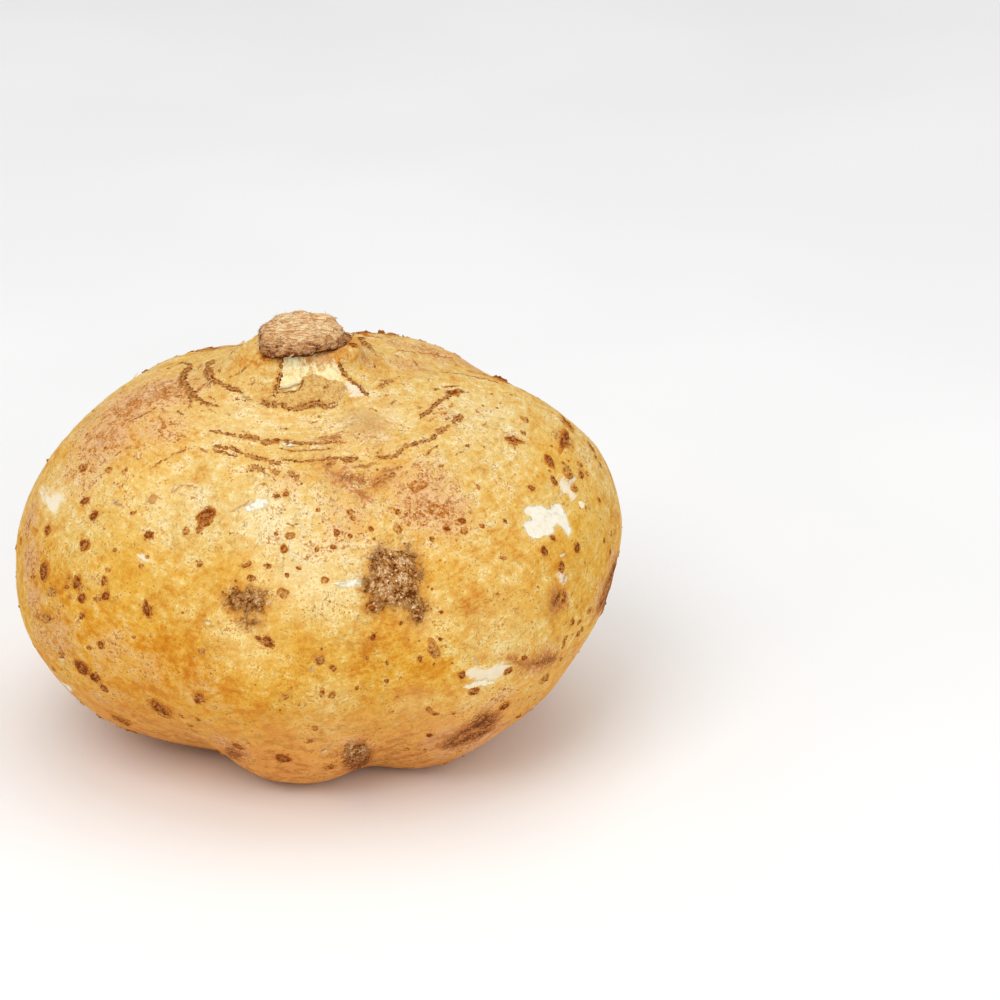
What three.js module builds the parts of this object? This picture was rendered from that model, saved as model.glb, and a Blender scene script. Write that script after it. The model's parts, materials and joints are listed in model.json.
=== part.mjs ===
// A whole jicama root (yam bean) as picked, in millimetres with +Z up. It grew as one piece, so it is
// one solid: a flattened globe of soft lobes parted by furrows, a cut stem stub on a crown ringed with
// corky scars, rough scabs on the flank, and a broken taproot in the hollow underneath. It rests at
// z = 0 on the flattened undersides of its lobes. The origin is under the middle of its bounding box.
import * as THREE from "three";

const { clamp, degToRad, euclideanModulo, lerp, radToDeg, smoothstep } = THREE.MathUtils;

// Driving dimensions. Azimuths are in degrees from +X towards +Y, and radii are from the axis of growth.
const GIRTH_RADIUS = 62; // mean radius of the body at its widest
const GIRTH_Z = 40; // mean height of that level
const CROWN_Z = 80; // where the shoulders reach the flare of the stem
const BODY_RADIUS = 53; // where the lobes have their full reach
const SHOULDER_RADIUS = 34; // where the lobes' shoulders have their full height
const NECK_RADIUS = 14; // foot of the stem's flare
const STUB_RADIUS = 9.6; // the stem where it was cut
const STUB_TOP_Z = 93.2; // middle of the cut end
const STUB_OFF_AXIS = { x: -3.2, y: 1 }; // the stem leans this far off the axis
const STUB_SLOPE = 0.1; // rise of the cut end towards +X
const FOOT_RADIUS = 28; // where the lobes touch the surface underneath
const FOOT_WIDTH = 7; // of the flattened part there, and how far the lobes' undersides are flattened
const FOOT_SINK = 0.3;
const TAPROOT_RADIUS = 3.2; // the broken root in the hollow of the underside
const OUTWARD_STEEPNESS = 1.6; // how fast the skin's outward direction turns up or down from the girth

// Facets: round the root, and rows down its stem, its flank and into its hollow.
const FACETS_ROUND = 90;
const STEM_ROWS = 12;
const FLANK_ROWS = 27;
const HOLLOW_ROWS = 8;
const CROWN_STEPS = 2000; // fine steps along the crown's curve, to find its height at a radius

// Corky scars lie on growth rings round the stem. Each is a low ridge along part of its ring, and the
// rings spread wider towards the side where the shoulder grew faster.
const RING_RADII = [19, 24.8, 28.8, 32.4, 38.6];
const PLAIN_RADII = [16, 22, 35.4, 42.5]; // rows of facets between the rings
const RING_SPREAD = { widest: 340, span: 75, amount: 3.6, starts: 19, full: 32, fades: 36, ends: 52 };
const SCAR_HALF_WIDTH = 0.9;
const SCAR_HEIGHT = 0.6;
const SCAR_TAPER = 6; // degrees over which a ridge runs out
const SCARS = [
  { ring: 0, from: 160, to: 232 },
  { ring: 0, from: 246, to: 308 },
  { ring: 0, from: 335, to: 352 },
  { ring: 1, from: 168, to: 228 },
  { ring: 1, from: 18, to: 84 },
  { ring: 2, from: 232, to: 292 },
  { ring: 2, from: 322, to: 360 },
  { ring: 2, from: 66, to: 142 },
  { ring: 3, from: 238, to: 340 },
  { ring: 3, from: 96, to: 158 },
  { ring: 4, from: 296, to: 322 },
];

// The rough apron of bark below the stem, inside the innermost scar.
const APRON = { azimuth: 277, span: 30, radius: 16, rise: 0.4 };

// The lobes: how far each reaches, the height of its widest level, how far its shoulder stands above
// the mean, how full its underside is, and how far that is off the surface.
const LOBES = [
  { azimuth: 5, reach: 66, girth: 46, shoulder: -0.5, under: 0.95, lift: 2 },
  { azimuth: 55, reach: 58, girth: 42, shoulder: 1, under: 0.98, lift: 0 },
  { azimuth: 105, reach: 58, girth: 40, shoulder: -2, under: 1, lift: 0 },
  { azimuth: 150, reach: 63, girth: 40, shoulder: 0.5, under: 0.98, lift: 0 },
  { azimuth: 192, reach: 65.6, girth: 37, shoulder: 2, under: 0.96, lift: 0.6 },
  { azimuth: 215, reach: 63.6, girth: 37, shoulder: 1.5, under: 0.99, lift: 2.8 },
  { azimuth: 264, reach: 54.5, girth: 36, shoulder: -1, under: 0.9, lift: 0 },
  { azimuth: 325, reach: 62.5, girth: 43, shoulder: 0, under: 0.99, lift: 0 },
];

// The furrows between them: depth at the girth, half width in degrees, and how far each lifts the
// underside off the surface.
const FURROWS = [
  { azimuth: 25, depth: 3.5, width: 13, lift: 2 },
  { azimuth: 90, depth: 3, width: 15, lift: 2 },
  { azimuth: 155, depth: 2, width: 15, lift: 2 },
  { azimuth: 232, depth: 4.5, width: 15, lift: 4 },
  { azimuth: 292, depth: 3.4, width: 13, lift: 4 },
];

// Slow waves of the skin: height, waves round the root, turn of a wave for each millimetre of height.
// They die out below WAVES_FROM_Z, so that the feet stay flat.
const WAVES_FROM_Z = 12;
const WAVES = [
  { height: 0.45, round: 4, turn: 0.11, start: 0 },
  { height: 0.3, round: 7, turn: -0.16, start: 1 },
  { height: 0.2, round: 11, turn: 0.3, start: 2 },
];
const STUB_WAVE = { share: 0.036, round: 3, start: 2.2 }; // the stub isn't quite round

// Rough scabs, raised a little: azimuth, height up the flank, radius, rise.
const SCAB_FLAT = 0.7; // share of a scab's radius that is level
const SCABS = [
  { azimuth: 260, z: 52, radius: 5.5, rise: 0.6 },
  { azimuth: 291, z: 57, radius: 7, rise: 0.8 },
  { azimuth: 70, z: 44, radius: 6, rise: 0.6 },
];

const point = (r, z) => new THREE.Vector2(r, z);
const wrap = (degrees) => euclideanModulo(degrees + 180, 360) - 180;
const bell = (offset, width) => Math.exp(-((offset / width) ** 2));
const sum = (list, term) => list.reduce((total, item) => total + term(item), 0);

// The mean meridian of the stem: over the domed cut end, round its bark rim and down the neck.
const STEM_MERIDIAN = new THREE.SplineCurve([
  point(0, STUB_TOP_Z),
  point(STUB_RADIUS * 0.5, STUB_TOP_Z - 0.4),
  point(STUB_RADIUS * 0.9, STUB_TOP_Z - 1.7),
  point(STUB_RADIUS, STUB_TOP_Z - 3.2),
  point(STUB_RADIUS * 0.99, STUB_TOP_Z - 4.8),
  point(STUB_RADIUS * 1.1, STUB_TOP_Z - 6.6),
  point(STUB_RADIUS * 1.36, STUB_TOP_Z - 8.8),
]);

// The mean meridian of the body: from the neck over the crown, down to the foot and in to the taproot.
const CROWN_POINTS = [
  STEM_MERIDIAN.points.at(-1),
  point(19, CROWN_Z + 1.6),
  point(28, CROWN_Z - 1),
  point(40, CROWN_Z - 5.5),
];
const FLANK_POINTS = [
  point(52, 65),
  point(59.5, 53),
  point(GIRTH_RADIUS, GIRTH_Z),
  point(60, 26),
  point(52.5, 13.5),
  point(42, 4.6),
  point(FOOT_RADIUS + FOOT_WIDTH / 2, -FOOT_SINK),
  point(FOOT_RADIUS - FOOT_WIDTH / 2, -FOOT_SINK),
  point(18, 1.4),
];
const HOLLOW_POINTS = [point(10, 3.6), point(5, 5), point(TAPROOT_RADIUS, 3.6), point(0, 3)];

// Points of the crown at given radii: one row on the crest of each scar ring, one on either side of it,
// and the plain rows between.
function crownRows() {
  const crown = new THREE.SplineCurve([...CROWN_POINTS, ...FLANK_POINTS.slice(0, 2)]);
  const fine = crown.getPoints(CROWN_STEPS);
  const radii = RING_RADII.flatMap((r) => [r - SCAR_HALF_WIDTH, r, r + SCAR_HALF_WIDTH]);
  return [...radii, ...PLAIN_RADII]
    .sort((a, b) => a - b)
    .map((r) => point(r, fine.find((p) => p.x >= r).y));
}

// The whole profile of the lathe, from the middle of the cut end round to the middle of the underside.
function profile() {
  const crown = crownRows();
  const flank = new THREE.SplineCurve([crown.at(-1), ...FLANK_POINTS]);
  const hollow = new THREE.SplineCurve([FLANK_POINTS.at(-1), ...HOLLOW_POINTS]);
  const rows = [
    ...STEM_MERIDIAN.getPoints(STEM_ROWS),
    ...crown,
    ...flank.getSpacedPoints(FLANK_ROWS).slice(1),
    ...hollow.getSpacedPoints(HOLLOW_ROWS).slice(1),
  ];
  rows.at(0).x = 0;
  rows.at(-1).x = 0;
  return rows;
}

// A figure of the lobes at any azimuth, passing smoothly from each lobe to the next.
function lobeFigure(figure, azimuth) {
  const after = LOBES.findIndex((lobe) => lobe.azimuth > azimuth);
  const next = LOBES[Math.max(after, 0)];
  const last = LOBES.at(after < 0 ? -1 : after - 1);
  const span = euclideanModulo(next.azimuth - last.azimuth, 360);
  const share = euclideanModulo(azimuth - last.azimuth, 360) / span;
  return lerp(last[figure], next[figure], smoothstep(share, 0, 1));
}

// How far the bark stands up at one point of the crown: on a scar's crest, or on the apron.
function barkRise(r, azimuth) {
  const scars = SCARS.map(({ ring, from, to }) => {
    const onCrest = Math.abs(r - RING_RADII[ring]) < SCAR_HALF_WIDTH / 2;
    const inside = (to - from) / 2 - Math.abs(wrap(azimuth - (from + to) / 2));
    return onCrest ? SCAR_HEIGHT * smoothstep(inside, 0, SCAR_TAPER) : 0;
  });
  const acrossApron = Math.abs(r - APRON.radius) < RING_RADII[0] - APRON.radius;
  const alongApron = smoothstep(APRON.span - Math.abs(wrap(azimuth - APRON.azimuth)), 0, SCAR_TAPER);
  return Math.max(...scars, acrossApron ? APRON.rise * alongApron : 0);
}

// How far the skin stands out from the smooth lobes: the slow waves and the scabs.
function skinRise(radius, level, z, azimuth) {
  const angle = degToRad(azimuth);
  const waves = sum(WAVES, ({ height, round, turn, start }) => {
    return height * Math.sin(round * angle + turn * z + start);
  });
  const scabs = sum(SCABS, (scab) => {
    const away = Math.hypot(degToRad(wrap(azimuth - scab.azimuth)) * radius, level - scab.z);
    return scab.rise * (1 - smoothstep(away, scab.radius * SCAB_FLAT, scab.radius));
  });
  return waves * smoothstep(z, 0, WAVES_FROM_Z) * smoothstep(radius, STUB_RADIUS, BODY_RADIUS) + scabs;
}

// A point of the mean root, given by its meridian's radius and height, moved to where it grew.
function grow(r, z, azimuth) {
  const angle = degToRad(azimuth);
  const body = smoothstep(r, STUB_RADIUS, BODY_RADIUS);
  const upper = smoothstep(z, GIRTH_Z, CROWN_Z);
  const low = 1 - smoothstep(z, 0, GIRTH_Z);
  const middleLevel = Math.sin(Math.PI * clamp(z / CROWN_Z, 0, 1));
  const underLevel = Math.sin(Math.PI * clamp(1 - z / GIRTH_Z, 0, 1)) ** 2;

  let radius = r * lerp(1, lobeFigure("reach", azimuth) / GIRTH_RADIUS, body);
  radius *= lerp(1, lobeFigure("under", azimuth), underLevel * body);
  let height = z + (lobeFigure("girth", azimuth) - GIRTH_Z) * middleLevel * body;
  height += lobeFigure("shoulder", azimuth) * upper * smoothstep(r, NECK_RADIUS, SHOULDER_RADIUS);
  height += lobeFigure("lift", azimuth) * body * low;
  for (const furrow of FURROWS) {
    const valley = bell(wrap(azimuth - furrow.azimuth), furrow.width) * body;
    radius -= furrow.depth * valley;
    height += furrow.lift * valley * low;
  }
  const { widest, span, amount, starts, full, fades, ends } = RING_SPREAD;
  const spread = smoothstep(r, starts, full) * (1 - smoothstep(r, fades, ends));
  radius += amount * spread * bell(wrap(azimuth - widest), span) * upper;
  const stub = 1 - smoothstep(r, STUB_RADIUS, NECK_RADIUS);
  radius *= 1 + STUB_WAVE.share * Math.sin(STUB_WAVE.round * angle + STUB_WAVE.start) * stub * upper;

  const grown = new THREE.Vector3(radius * Math.cos(angle), radius * Math.sin(angle), height);
  const outward = new THREE.Vector3(grown.x, grown.y, (z - GIRTH_Z) * OUTWARD_STEEPNESS).normalize();
  const bark = z > GIRTH_Z ? barkRise(r, azimuth) : 0;
  grown.addScaledVector(outward, skinRise(radius, height, z, azimuth) + bark);

  const lean = upper * (1 - smoothstep(r, STUB_RADIUS, GIRTH_RADIUS));
  grown.x += STUB_OFF_AXIS.x * lean;
  grown.y += STUB_OFF_AXIS.y * lean;
  grown.z += STUB_SLOPE * r * Math.cos(angle) * stub * upper;
  grown.z = Math.max(0, grown.z);
  return grown;
}

function rootGeometry() {
  const geometry = new THREE.LatheGeometry(profile().reverse(), FACETS_ROUND);
  geometry.rotateX(Math.PI / 2);
  const vertices = geometry.attributes.position;
  for (let i = 0; i < vertices.count; i++) {
    const [x, y, z] = [vertices.getX(i), vertices.getY(i), vertices.getZ(i)];
    const azimuth = euclideanModulo(radToDeg(Math.atan2(y, x)), 360);
    vertices.setXYZ(i, ...grow(Math.hypot(x, y), z, azimuth).toArray());
  }
  geometry.computeBoundingBox();
  const middle = geometry.boundingBox.getCenter(new THREE.Vector3());
  geometry.translate(-middle.x, -middle.y, 0);
  return geometry;
}

const skin = new THREE.MeshStandardMaterial({ color: 0xdba950, roughness: 0.6, metalness: 0 });
const root = new THREE.Mesh(rootGeometry(), skin);
root.name = "jicama_root";

const group = new THREE.Group();
group.add(root);
export default group;
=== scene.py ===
# A whole jicama root lying on a pale table, dressed over its plain solid. In metres, +Z up.
import json
import math

import bmesh
import bpy
import numpy as np
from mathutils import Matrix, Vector, noise
from mathutils.bvhtree import BVHTree

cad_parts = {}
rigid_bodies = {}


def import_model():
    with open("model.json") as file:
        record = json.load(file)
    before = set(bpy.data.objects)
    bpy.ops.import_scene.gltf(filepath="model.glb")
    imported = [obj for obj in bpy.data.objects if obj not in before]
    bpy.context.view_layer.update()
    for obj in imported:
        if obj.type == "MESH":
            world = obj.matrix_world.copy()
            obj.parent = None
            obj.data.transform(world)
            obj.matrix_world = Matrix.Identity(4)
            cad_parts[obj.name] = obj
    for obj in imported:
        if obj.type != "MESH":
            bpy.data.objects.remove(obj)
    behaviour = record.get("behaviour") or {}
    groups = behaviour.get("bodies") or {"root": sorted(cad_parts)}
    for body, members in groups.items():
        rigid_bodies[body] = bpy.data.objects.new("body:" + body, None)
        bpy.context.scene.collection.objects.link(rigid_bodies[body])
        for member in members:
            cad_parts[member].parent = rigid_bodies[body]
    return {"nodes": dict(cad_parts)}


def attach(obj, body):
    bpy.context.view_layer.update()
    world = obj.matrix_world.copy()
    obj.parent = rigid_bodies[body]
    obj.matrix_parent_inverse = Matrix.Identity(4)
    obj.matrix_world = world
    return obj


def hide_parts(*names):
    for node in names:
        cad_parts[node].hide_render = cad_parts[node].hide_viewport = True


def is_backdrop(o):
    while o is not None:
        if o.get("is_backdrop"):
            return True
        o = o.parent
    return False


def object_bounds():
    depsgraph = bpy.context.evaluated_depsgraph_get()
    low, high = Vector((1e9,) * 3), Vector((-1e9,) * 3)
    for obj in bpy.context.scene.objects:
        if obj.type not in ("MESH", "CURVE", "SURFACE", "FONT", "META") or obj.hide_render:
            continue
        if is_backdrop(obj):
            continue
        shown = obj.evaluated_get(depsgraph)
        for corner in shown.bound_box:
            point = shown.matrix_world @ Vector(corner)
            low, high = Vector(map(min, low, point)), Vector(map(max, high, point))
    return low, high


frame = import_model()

cad_low, cad_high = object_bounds()
MM = 0.001


# ---- The camera ----
# It stands in front of the root and looks down on it by 25 degrees. What the front of the root
# shows is placed by looking through it, in pixels of a picture 1000 wide and 1000 high.
CAMERA_DOWN = math.radians(25)
CAMERA_AWAY = 715 * MM
CAMERA_AIM = Vector((38.6, 0, 52)) * MM
LENS, SENSOR = 120, 36
PICTURE = 1000

camera = bpy.data.objects.new("camera", bpy.data.cameras.new("camera"))
camera.data.lens = LENS
camera.data.sensor_width = SENSOR
camera.data.clip_start = 0.05
camera.data.clip_end = 20
camera.location = CAMERA_AIM + CAMERA_AWAY * Vector((0, -math.cos(CAMERA_DOWN), math.sin(CAMERA_DOWN)))
camera.rotation_euler = (math.pi / 2 - CAMERA_DOWN, 0, 0)
bpy.context.scene.collection.objects.link(camera)
bpy.context.scene.camera = camera


def sight(px, py):
    """The direction from the camera through a pixel of the picture."""
    across, up = px / PICTURE - 0.5, 0.5 - py / PICTURE
    ray = Vector((across * SENSOR / LENS, up * SENSOR / LENS, -1))
    return (camera.rotation_euler.to_matrix() @ ray).normalized()


# ---- The skin ----
# The root's thin dry skin over crisp white flesh, in one closed piece with the flare and stub of the
# stem, as it grew. It is the solid's own form, rounded, with the lumps, scabs and tears of real skin.
SMOOTHING = 2
LUMPS = ((18, 0.30), (7, 0.16), (3.2, 0.08), (1.4, 0.04))  # size and height, mm
WRINKLE_GAP, WRINKLE_HEIGHT = 2.4, 0.05  # the fine growth rings of the shoulders, mm
SHOULDER = (45, 65)  # the heights between which they set in, mm
STEM_AXIS = Vector((-3.7, 0.8, 0)) * MM
CROWN_HEIGHT = 84  # the skin's grain is measured down the slope from here, mm
WIDEST_GRAIN = 45  # and is no wider than at this distance from the stem, mm
NECK_ROUGH = 0.22  # the bark of the neck, mm
NECK_BULGES = [(195, 85.6, 50, 2.8, 2.2), (350, 87.2, 38, 2.6, 2.4), (300, 84.5, 30, 2.5, 0.5)]
# direction from the stem, height, spread in degrees and in mm, and how far each stands out, mm
STUB_SLIMMED = 0.8  # the skin's stub draws in under the woody end, mm
SETTLING = 3  # relief dies away below this height, where the root rests, mm
EDGE_LIMIT = 4.0  # edges of patches are measured no further than this, mm

# Patches of the front, by their corners in pixels.
PATCHES = {
    "torn": [
        [(523, 509), (527, 506), (533, 505), (542, 505), (548, 508), (553, 506), (557, 502), (562, 504),
         (566, 513), (570, 523), (572, 531), (571, 537), (567, 534), (563, 528), (559, 523), (556, 523),
         (554, 528), (555, 532), (549, 536), (541, 537), (538, 541), (531, 537), (526, 533), (523, 524),
         (526, 520), (532, 520), (530, 515), (524, 512)],
        [(237, 512), (248, 504), (256, 499), (268, 499), (270, 502), (262, 508), (250, 511)],
        [(335, 583), (345, 581), (352, 578), (360, 580), (361, 585), (350, 586), (340, 587)],
        [(464, 686), (475, 682), (487, 679), (494, 681), (482, 686), (470, 689)],
        [(54, 682), (66, 684), (74, 686), (70, 692), (62, 693)],
        [(282, 443), (289, 441), (297, 443), (292, 446), (285, 446)],
    ],
    "scuffed": [
        [(464, 673), (475, 668), (490, 669), (500, 662), (510, 663), (512, 668), (503, 674), (496, 680),
         (484, 680), (470, 678)],
        [(40, 486), (47, 490), (50, 495), (58, 493), (66, 496), (61, 501), (56, 510), (48, 508), (43, 500)],
        [(138, 556), (145, 552), (149, 556), (146, 562), (139, 561)],
        [(556, 478), (565, 480), (578, 496), (574, 500), (562, 490)],
        [(343, 380), (349, 383), (357, 387), (364, 391), (371, 396), (362, 398), (351, 397), (347, 390)],
        [(558, 573), (565, 575), (566, 582), (561, 584)],
        [(568, 476), (574, 479), (572, 484), (566, 482)],
    ],
    "scab": [
        [(374, 552), (380, 544), (385, 552), (391, 550), (394, 556), (400, 556), (404, 547), (410, 547),
         (413, 554), (419, 556), (416, 564), (422, 571), (423, 577), (416, 582), (419, 590), (415, 596),
         (425, 603), (426, 612), (422, 620), (416, 622), (410, 618), (409, 609), (401, 604), (393, 608),
         (386, 605), (377, 612), (368, 611), (367, 604), (373, 599), (367, 591), (365, 586), (360, 584),
         (365, 577), (372, 571), (368, 562)],
        [(230, 594), (237, 587), (243, 591), (250, 587), (256, 592), (264, 591), (262, 598), (269, 602),
         (262, 606), (261, 613), (253, 610), (247, 615), (241, 609), (233, 610), (226, 605), (229, 600),
         (223, 596)],
        [(240, 624), (247, 622), (256, 620), (260, 621), (255, 625), (245, 627)],
        [(344, 752), (350, 744), (358, 742), (366, 746), (371, 754), (366, 765), (355, 770), (345, 764)],
    ],
    "smear": [
        [(434, 746), (448, 736), (462, 727), (474, 716), (488, 709), (500, 711), (501, 719), (494, 730),
         (480, 739), (462, 746), (446, 750)],
        [(507, 658), (515, 655), (525, 661), (535, 658), (545, 653), (558, 652), (560, 656), (552, 664),
         (545, 667), (530, 668), (518, 666)],
        [(549, 603), (553, 592), (559, 587), (564, 592), (566, 604), (559, 610), (551, 611)],
        [(616, 556), (617, 563), (612, 581), (606, 599), (601, 611), (596, 616), (596, 608), (600, 597),
         (605, 583), (610, 569), (613, 560)],
        [(322, 463), (330, 460), (335, 466), (333, 474), (326, 474)],
        [(371, 487), (374, 480), (384, 474), (390, 474), (384, 483), (376, 489)],
        [(322, 441), (331, 436), (342, 437), (338, 442), (329, 444)],
        [(334, 474), (346, 471), (358, 474), (371, 478), (366, 486), (352, 484), (340, 481)],
        [(352, 489), (360, 488), (368, 493), (365, 499), (357, 497)],
        [(222, 745), (234, 747), (246, 755), (240, 760), (228, 756)],
    ],
    "peeled": [
        [(282, 355), (281, 370), (279, 381), (278, 389), (286, 391), (295, 391), (300, 385), (303, 378),
         (312, 375), (321, 378), (329, 382), (337, 383), (344, 382), (338, 371), (332, 360), (332, 353),
         (312, 350), (295, 354)],
    ],
    "apron": [
        [(272, 395), (263, 402), (269, 406), (279, 406), (290, 406), (305, 408), (315, 404), (325, 407),
         (335, 405), (344, 396), (346, 387), (337, 383), (329, 382), (321, 378), (312, 375), (303, 378),
         (300, 388), (279, 391)],
    ],
}
HIDDEN_PATCHES = {"torn": (9, 0.7, 2.6), "scuffed": (7, 1.0, 2.5), "scab": (6, 2.0, 5.5),
                  "smear": (7, 2.0, 4.5)}
# how many of each are behind, and the smallest and largest, mm
PATCH_RELIEF = {"torn": (-0.5, 0.5, -0.28, 0), "scab": (-0.6, 0.8, 0.22, 0.40),
                "smear": (-0.6, 0.8, 0.06, 0.16), "apron": (-0.35, 0.45, 0.28, 0.34),
                "peeled": (-0.3, 0.3, -0.40, -0.06)}
# where its slope starts and ends, measured in from the edge, and how high and how gritty it is, mm

# Soft changes of colour on the front: pixel, radius in mm and strength.
SOFT_AREAS = {
    "cream": [
        (305, 575, 9, 0.9), (265, 520, 8, 0.6), (250, 640, 7, 0.5), (195, 510, 6, 0.5), (395, 416, 3, 0.9),
        (350, 440, 8, 0.3), (245, 420, 10, 0.4), (470, 410, 9, 0.4), (430, 620, 5, 0.5), (330, 700, 6, 0.4),
        (55, 500, 4, 0.8), (510, 640, 9, 0.5), (480, 700, 7, 0.5), (560, 650, 6, 0.4), (415, 705, 6, 0.4),
        (165, 500, 7, 0.4), (300, 520, 6, 0.4), (450, 725, 10, 0.4), (505, 690, 8, 0.4), (330, 735, 9, 0.3),
    ],
    "gold": [
        (585, 520, 10, 1.0), (562, 470, 8, 0.6), (120, 560, 9, 0.7), (150, 500, 8, 0.5), (300, 640, 8, 0.5),
        (470, 740, 8, 0.6), (540, 610, 9, 0.5), (220, 560, 7, 0.4),
    ],
    # Rusty areas are partly the skin's own colour and partly painted shade: those in the furrow between the
    # lobes, where the body turns under and along its lower and side edges stand for shade.
    "rust_and_shade": [
        (245, 362, 6, 0.9), (268, 385, 5, 0.8), (370, 365, 5, 0.7), (590, 500, 7, 0.4), (560, 575, 6, 0.6),
        (430, 730, 9, 0.6), (300, 760, 9, 0.6), (130, 705, 7, 0.6), (60, 580, 5, 0.8), (520, 600, 7, 0.5),
        (180, 655, 9, 0.8), (375, 640, 6, 0.8), (312, 652, 4, 0.8), (490, 605, 8, 0.6), (560, 590, 6, 0.6),
        (300, 462, 5, 0.6), (382, 468, 5, 0.7), (340, 450, 5, 0.5), (440, 405, 4, 0.5), (225, 395, 5, 0.5),
        (250, 720, 10, 0.5), (100, 590, 7, 0.6), (60, 620, 5, 0.7), (400, 690, 9, 0.5),
    ],
    # Rosy areas are partly the skin's own colour and partly painted sheen: those along the outline stand for
    # the pale pinkish shine where the skin turns away.
    "blush_and_sheen": [
        (425, 500, 9, 1.1), (448, 512, 7, 1.0), (400, 480, 6, 0.7), (350, 520, 7, 0.7), (335, 505, 5, 0.7),
        (300, 545, 6, 0.4), (160, 392, 11, 1.1), (130, 405, 11, 1.2), (105, 435, 11, 1.1), (160, 425, 9, 0.8),
        (85, 485, 6, 0.6), (70, 470, 6, 0.7), (30, 520, 6, 0.9), (34, 600, 6, 0.9), (60, 640, 8, 0.8),
        (110, 652, 9, 0.6), (150, 672, 9, 0.5), (290, 482, 4, 0.7), (345, 480, 5, 0.6), (540, 662, 6, 0.8),
        (600, 600, 6, 0.9), (612, 560, 5, 0.7), (575, 650, 6, 0.6), (400, 345, 8, 0.7), (430, 352, 7, 0.9),
        (470, 365, 7, 0.9), (410, 365, 7, 0.8), (365, 360, 5, 0.7), (200, 690, 9, 0.5), (232, 748, 5, 1.0),
        (470, 740, 10, 1.1), (100, 688, 9, 0.5), (30, 560, 6, 1.0), (45, 640, 7, 0.8), (380, 440, 6, 0.6),
        (500, 700, 6, 0.6), (355, 745, 5, 0.7), (205, 372, 5, 0.5), (445, 420, 5, 0.4), (320, 440, 4, 0.4),
    ],
    "grey": [
        (365, 422, 7, 0.8), (385, 405, 5, 0.5), (92, 418, 5, 0.6), (335, 480, 4, 0.7), (360, 495, 3, 0.6),
        (420, 370, 5, 0.4),
    ],
}
HIDDEN_AREAS = {"cream": (20, 4, 9), "gold": (20, 5, 10), "rust_and_shade": (26, 4, 9), "blush_and_sheen": (26, 4, 9),
                "grey": (10, 3, 7)}
# how many of each are behind, and the smallest and largest radius, mm


def plain_mesh(thing):
    """The mesh of an object with its modifiers applied, as a mesh of its own."""
    graph = bpy.context.evaluated_depsgraph_get()
    return bpy.data.meshes.new_from_object(thing.evaluated_get(graph))


def piece(name, mesh):
    """A new object at the origin that shows a mesh."""
    thing = bpy.data.objects.new(name, mesh)
    bpy.context.scene.collection.objects.link(thing)
    return thing


def rounded_copy(node):
    """The node's mesh merged, paired into four-sided faces and subdivided."""
    work = bmesh.new()
    work.from_mesh(node.data)
    bmesh.ops.remove_doubles(work, verts=work.verts, dist=0.002 * MM)
    bmesh.ops.join_triangles(work, faces=work.faces, angle_face_threshold=1.2, angle_shape_threshold=1.6)
    for face in work.faces:
        face.smooth = True
        face.material_index = 0
    mesh = bpy.data.meshes.new("skin")
    work.to_mesh(mesh)
    work.free()
    thing = piece("skin_rounding", mesh)
    rounding = thing.modifiers.new("rounding", "SUBSURF")
    rounding.levels = rounding.render_levels = SMOOTHING
    result = plain_mesh(thing)
    bpy.data.objects.remove(thing)
    return result


def vectors_of(items, name):
    """A vector of each item, such as a vertex's place, as rows of an array."""
    values = np.empty(len(items) * 3)
    items.foreach_get(name, values)
    return values.reshape(-1, 3)


def give(mesh, **named):
    """Stores numbers or vectors under their names, one for each vertex."""
    for name, values in named.items():
        values = np.asarray(values)
        kind = "FLOAT_VECTOR" if values.ndim > 1 else "INT" if values.dtype.kind == "i" else "FLOAT"
        made = mesh.attributes.new(name, kind, "POINT")
        made.data.foreach_set("vector" if values.ndim > 1 else "value", values.ravel())


def lumps(size, seed):
    """Smooth noise between -1 and 1 at each skin point, with features of a given size in mm."""
    shift = Vector((seed * 7.3, seed * 3.1, seed * 5.7))
    return np.array([noise.noise(Vector(p) / (size * MM) + shift) for p in at])


def surface_tree(mesh):
    """The faces of a mesh, ready for rays and nearest places."""
    return BVHTree.FromPolygons([v.co for v in mesh.vertices], [p.vertices for p in mesh.polygons])


def on_skin(px, py):
    """The place on the skin that shows at a pixel, or the nearest one to it, and the way out of the skin."""
    ray = sight(px, py)
    place, out = skin_tree.ray_cast(camera.location, ray)[:2]
    if place is None:
        middle = Vector((0, 0, (cad_low[2] + cad_high[2]) / 2))
        beside = camera.location + ray * (middle - camera.location).dot(ray)
        place, out = skin_tree.find_nearest(beside)[:2]
    return place, out


def inside_edge(corners, flat):
    """How far flat points lie inside a flat outline, below 0 outside it."""
    closest = np.full(len(flat), np.inf)
    inside = np.zeros(len(flat), bool)
    for a, b in zip(corners, np.roll(corners, -1, axis=0)):
        along, reach = b - a, flat - a
        share = np.clip(reach @ along / (along @ along), 0, 1)
        closest = np.minimum(closest, np.linalg.norm(reach - share[:, None] * along, axis=1))
        crosses = (a[1] > flat[:, 1]) != (b[1] > flat[:, 1])
        climb = b[1] - a[1] if b[1] != a[1] else 1e-12
        inside ^= crosses & (flat[:, 0] < a[0] + (flat[:, 1] - a[1]) * along[0] / climb)
    return np.where(inside, closest, -closest)


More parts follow.
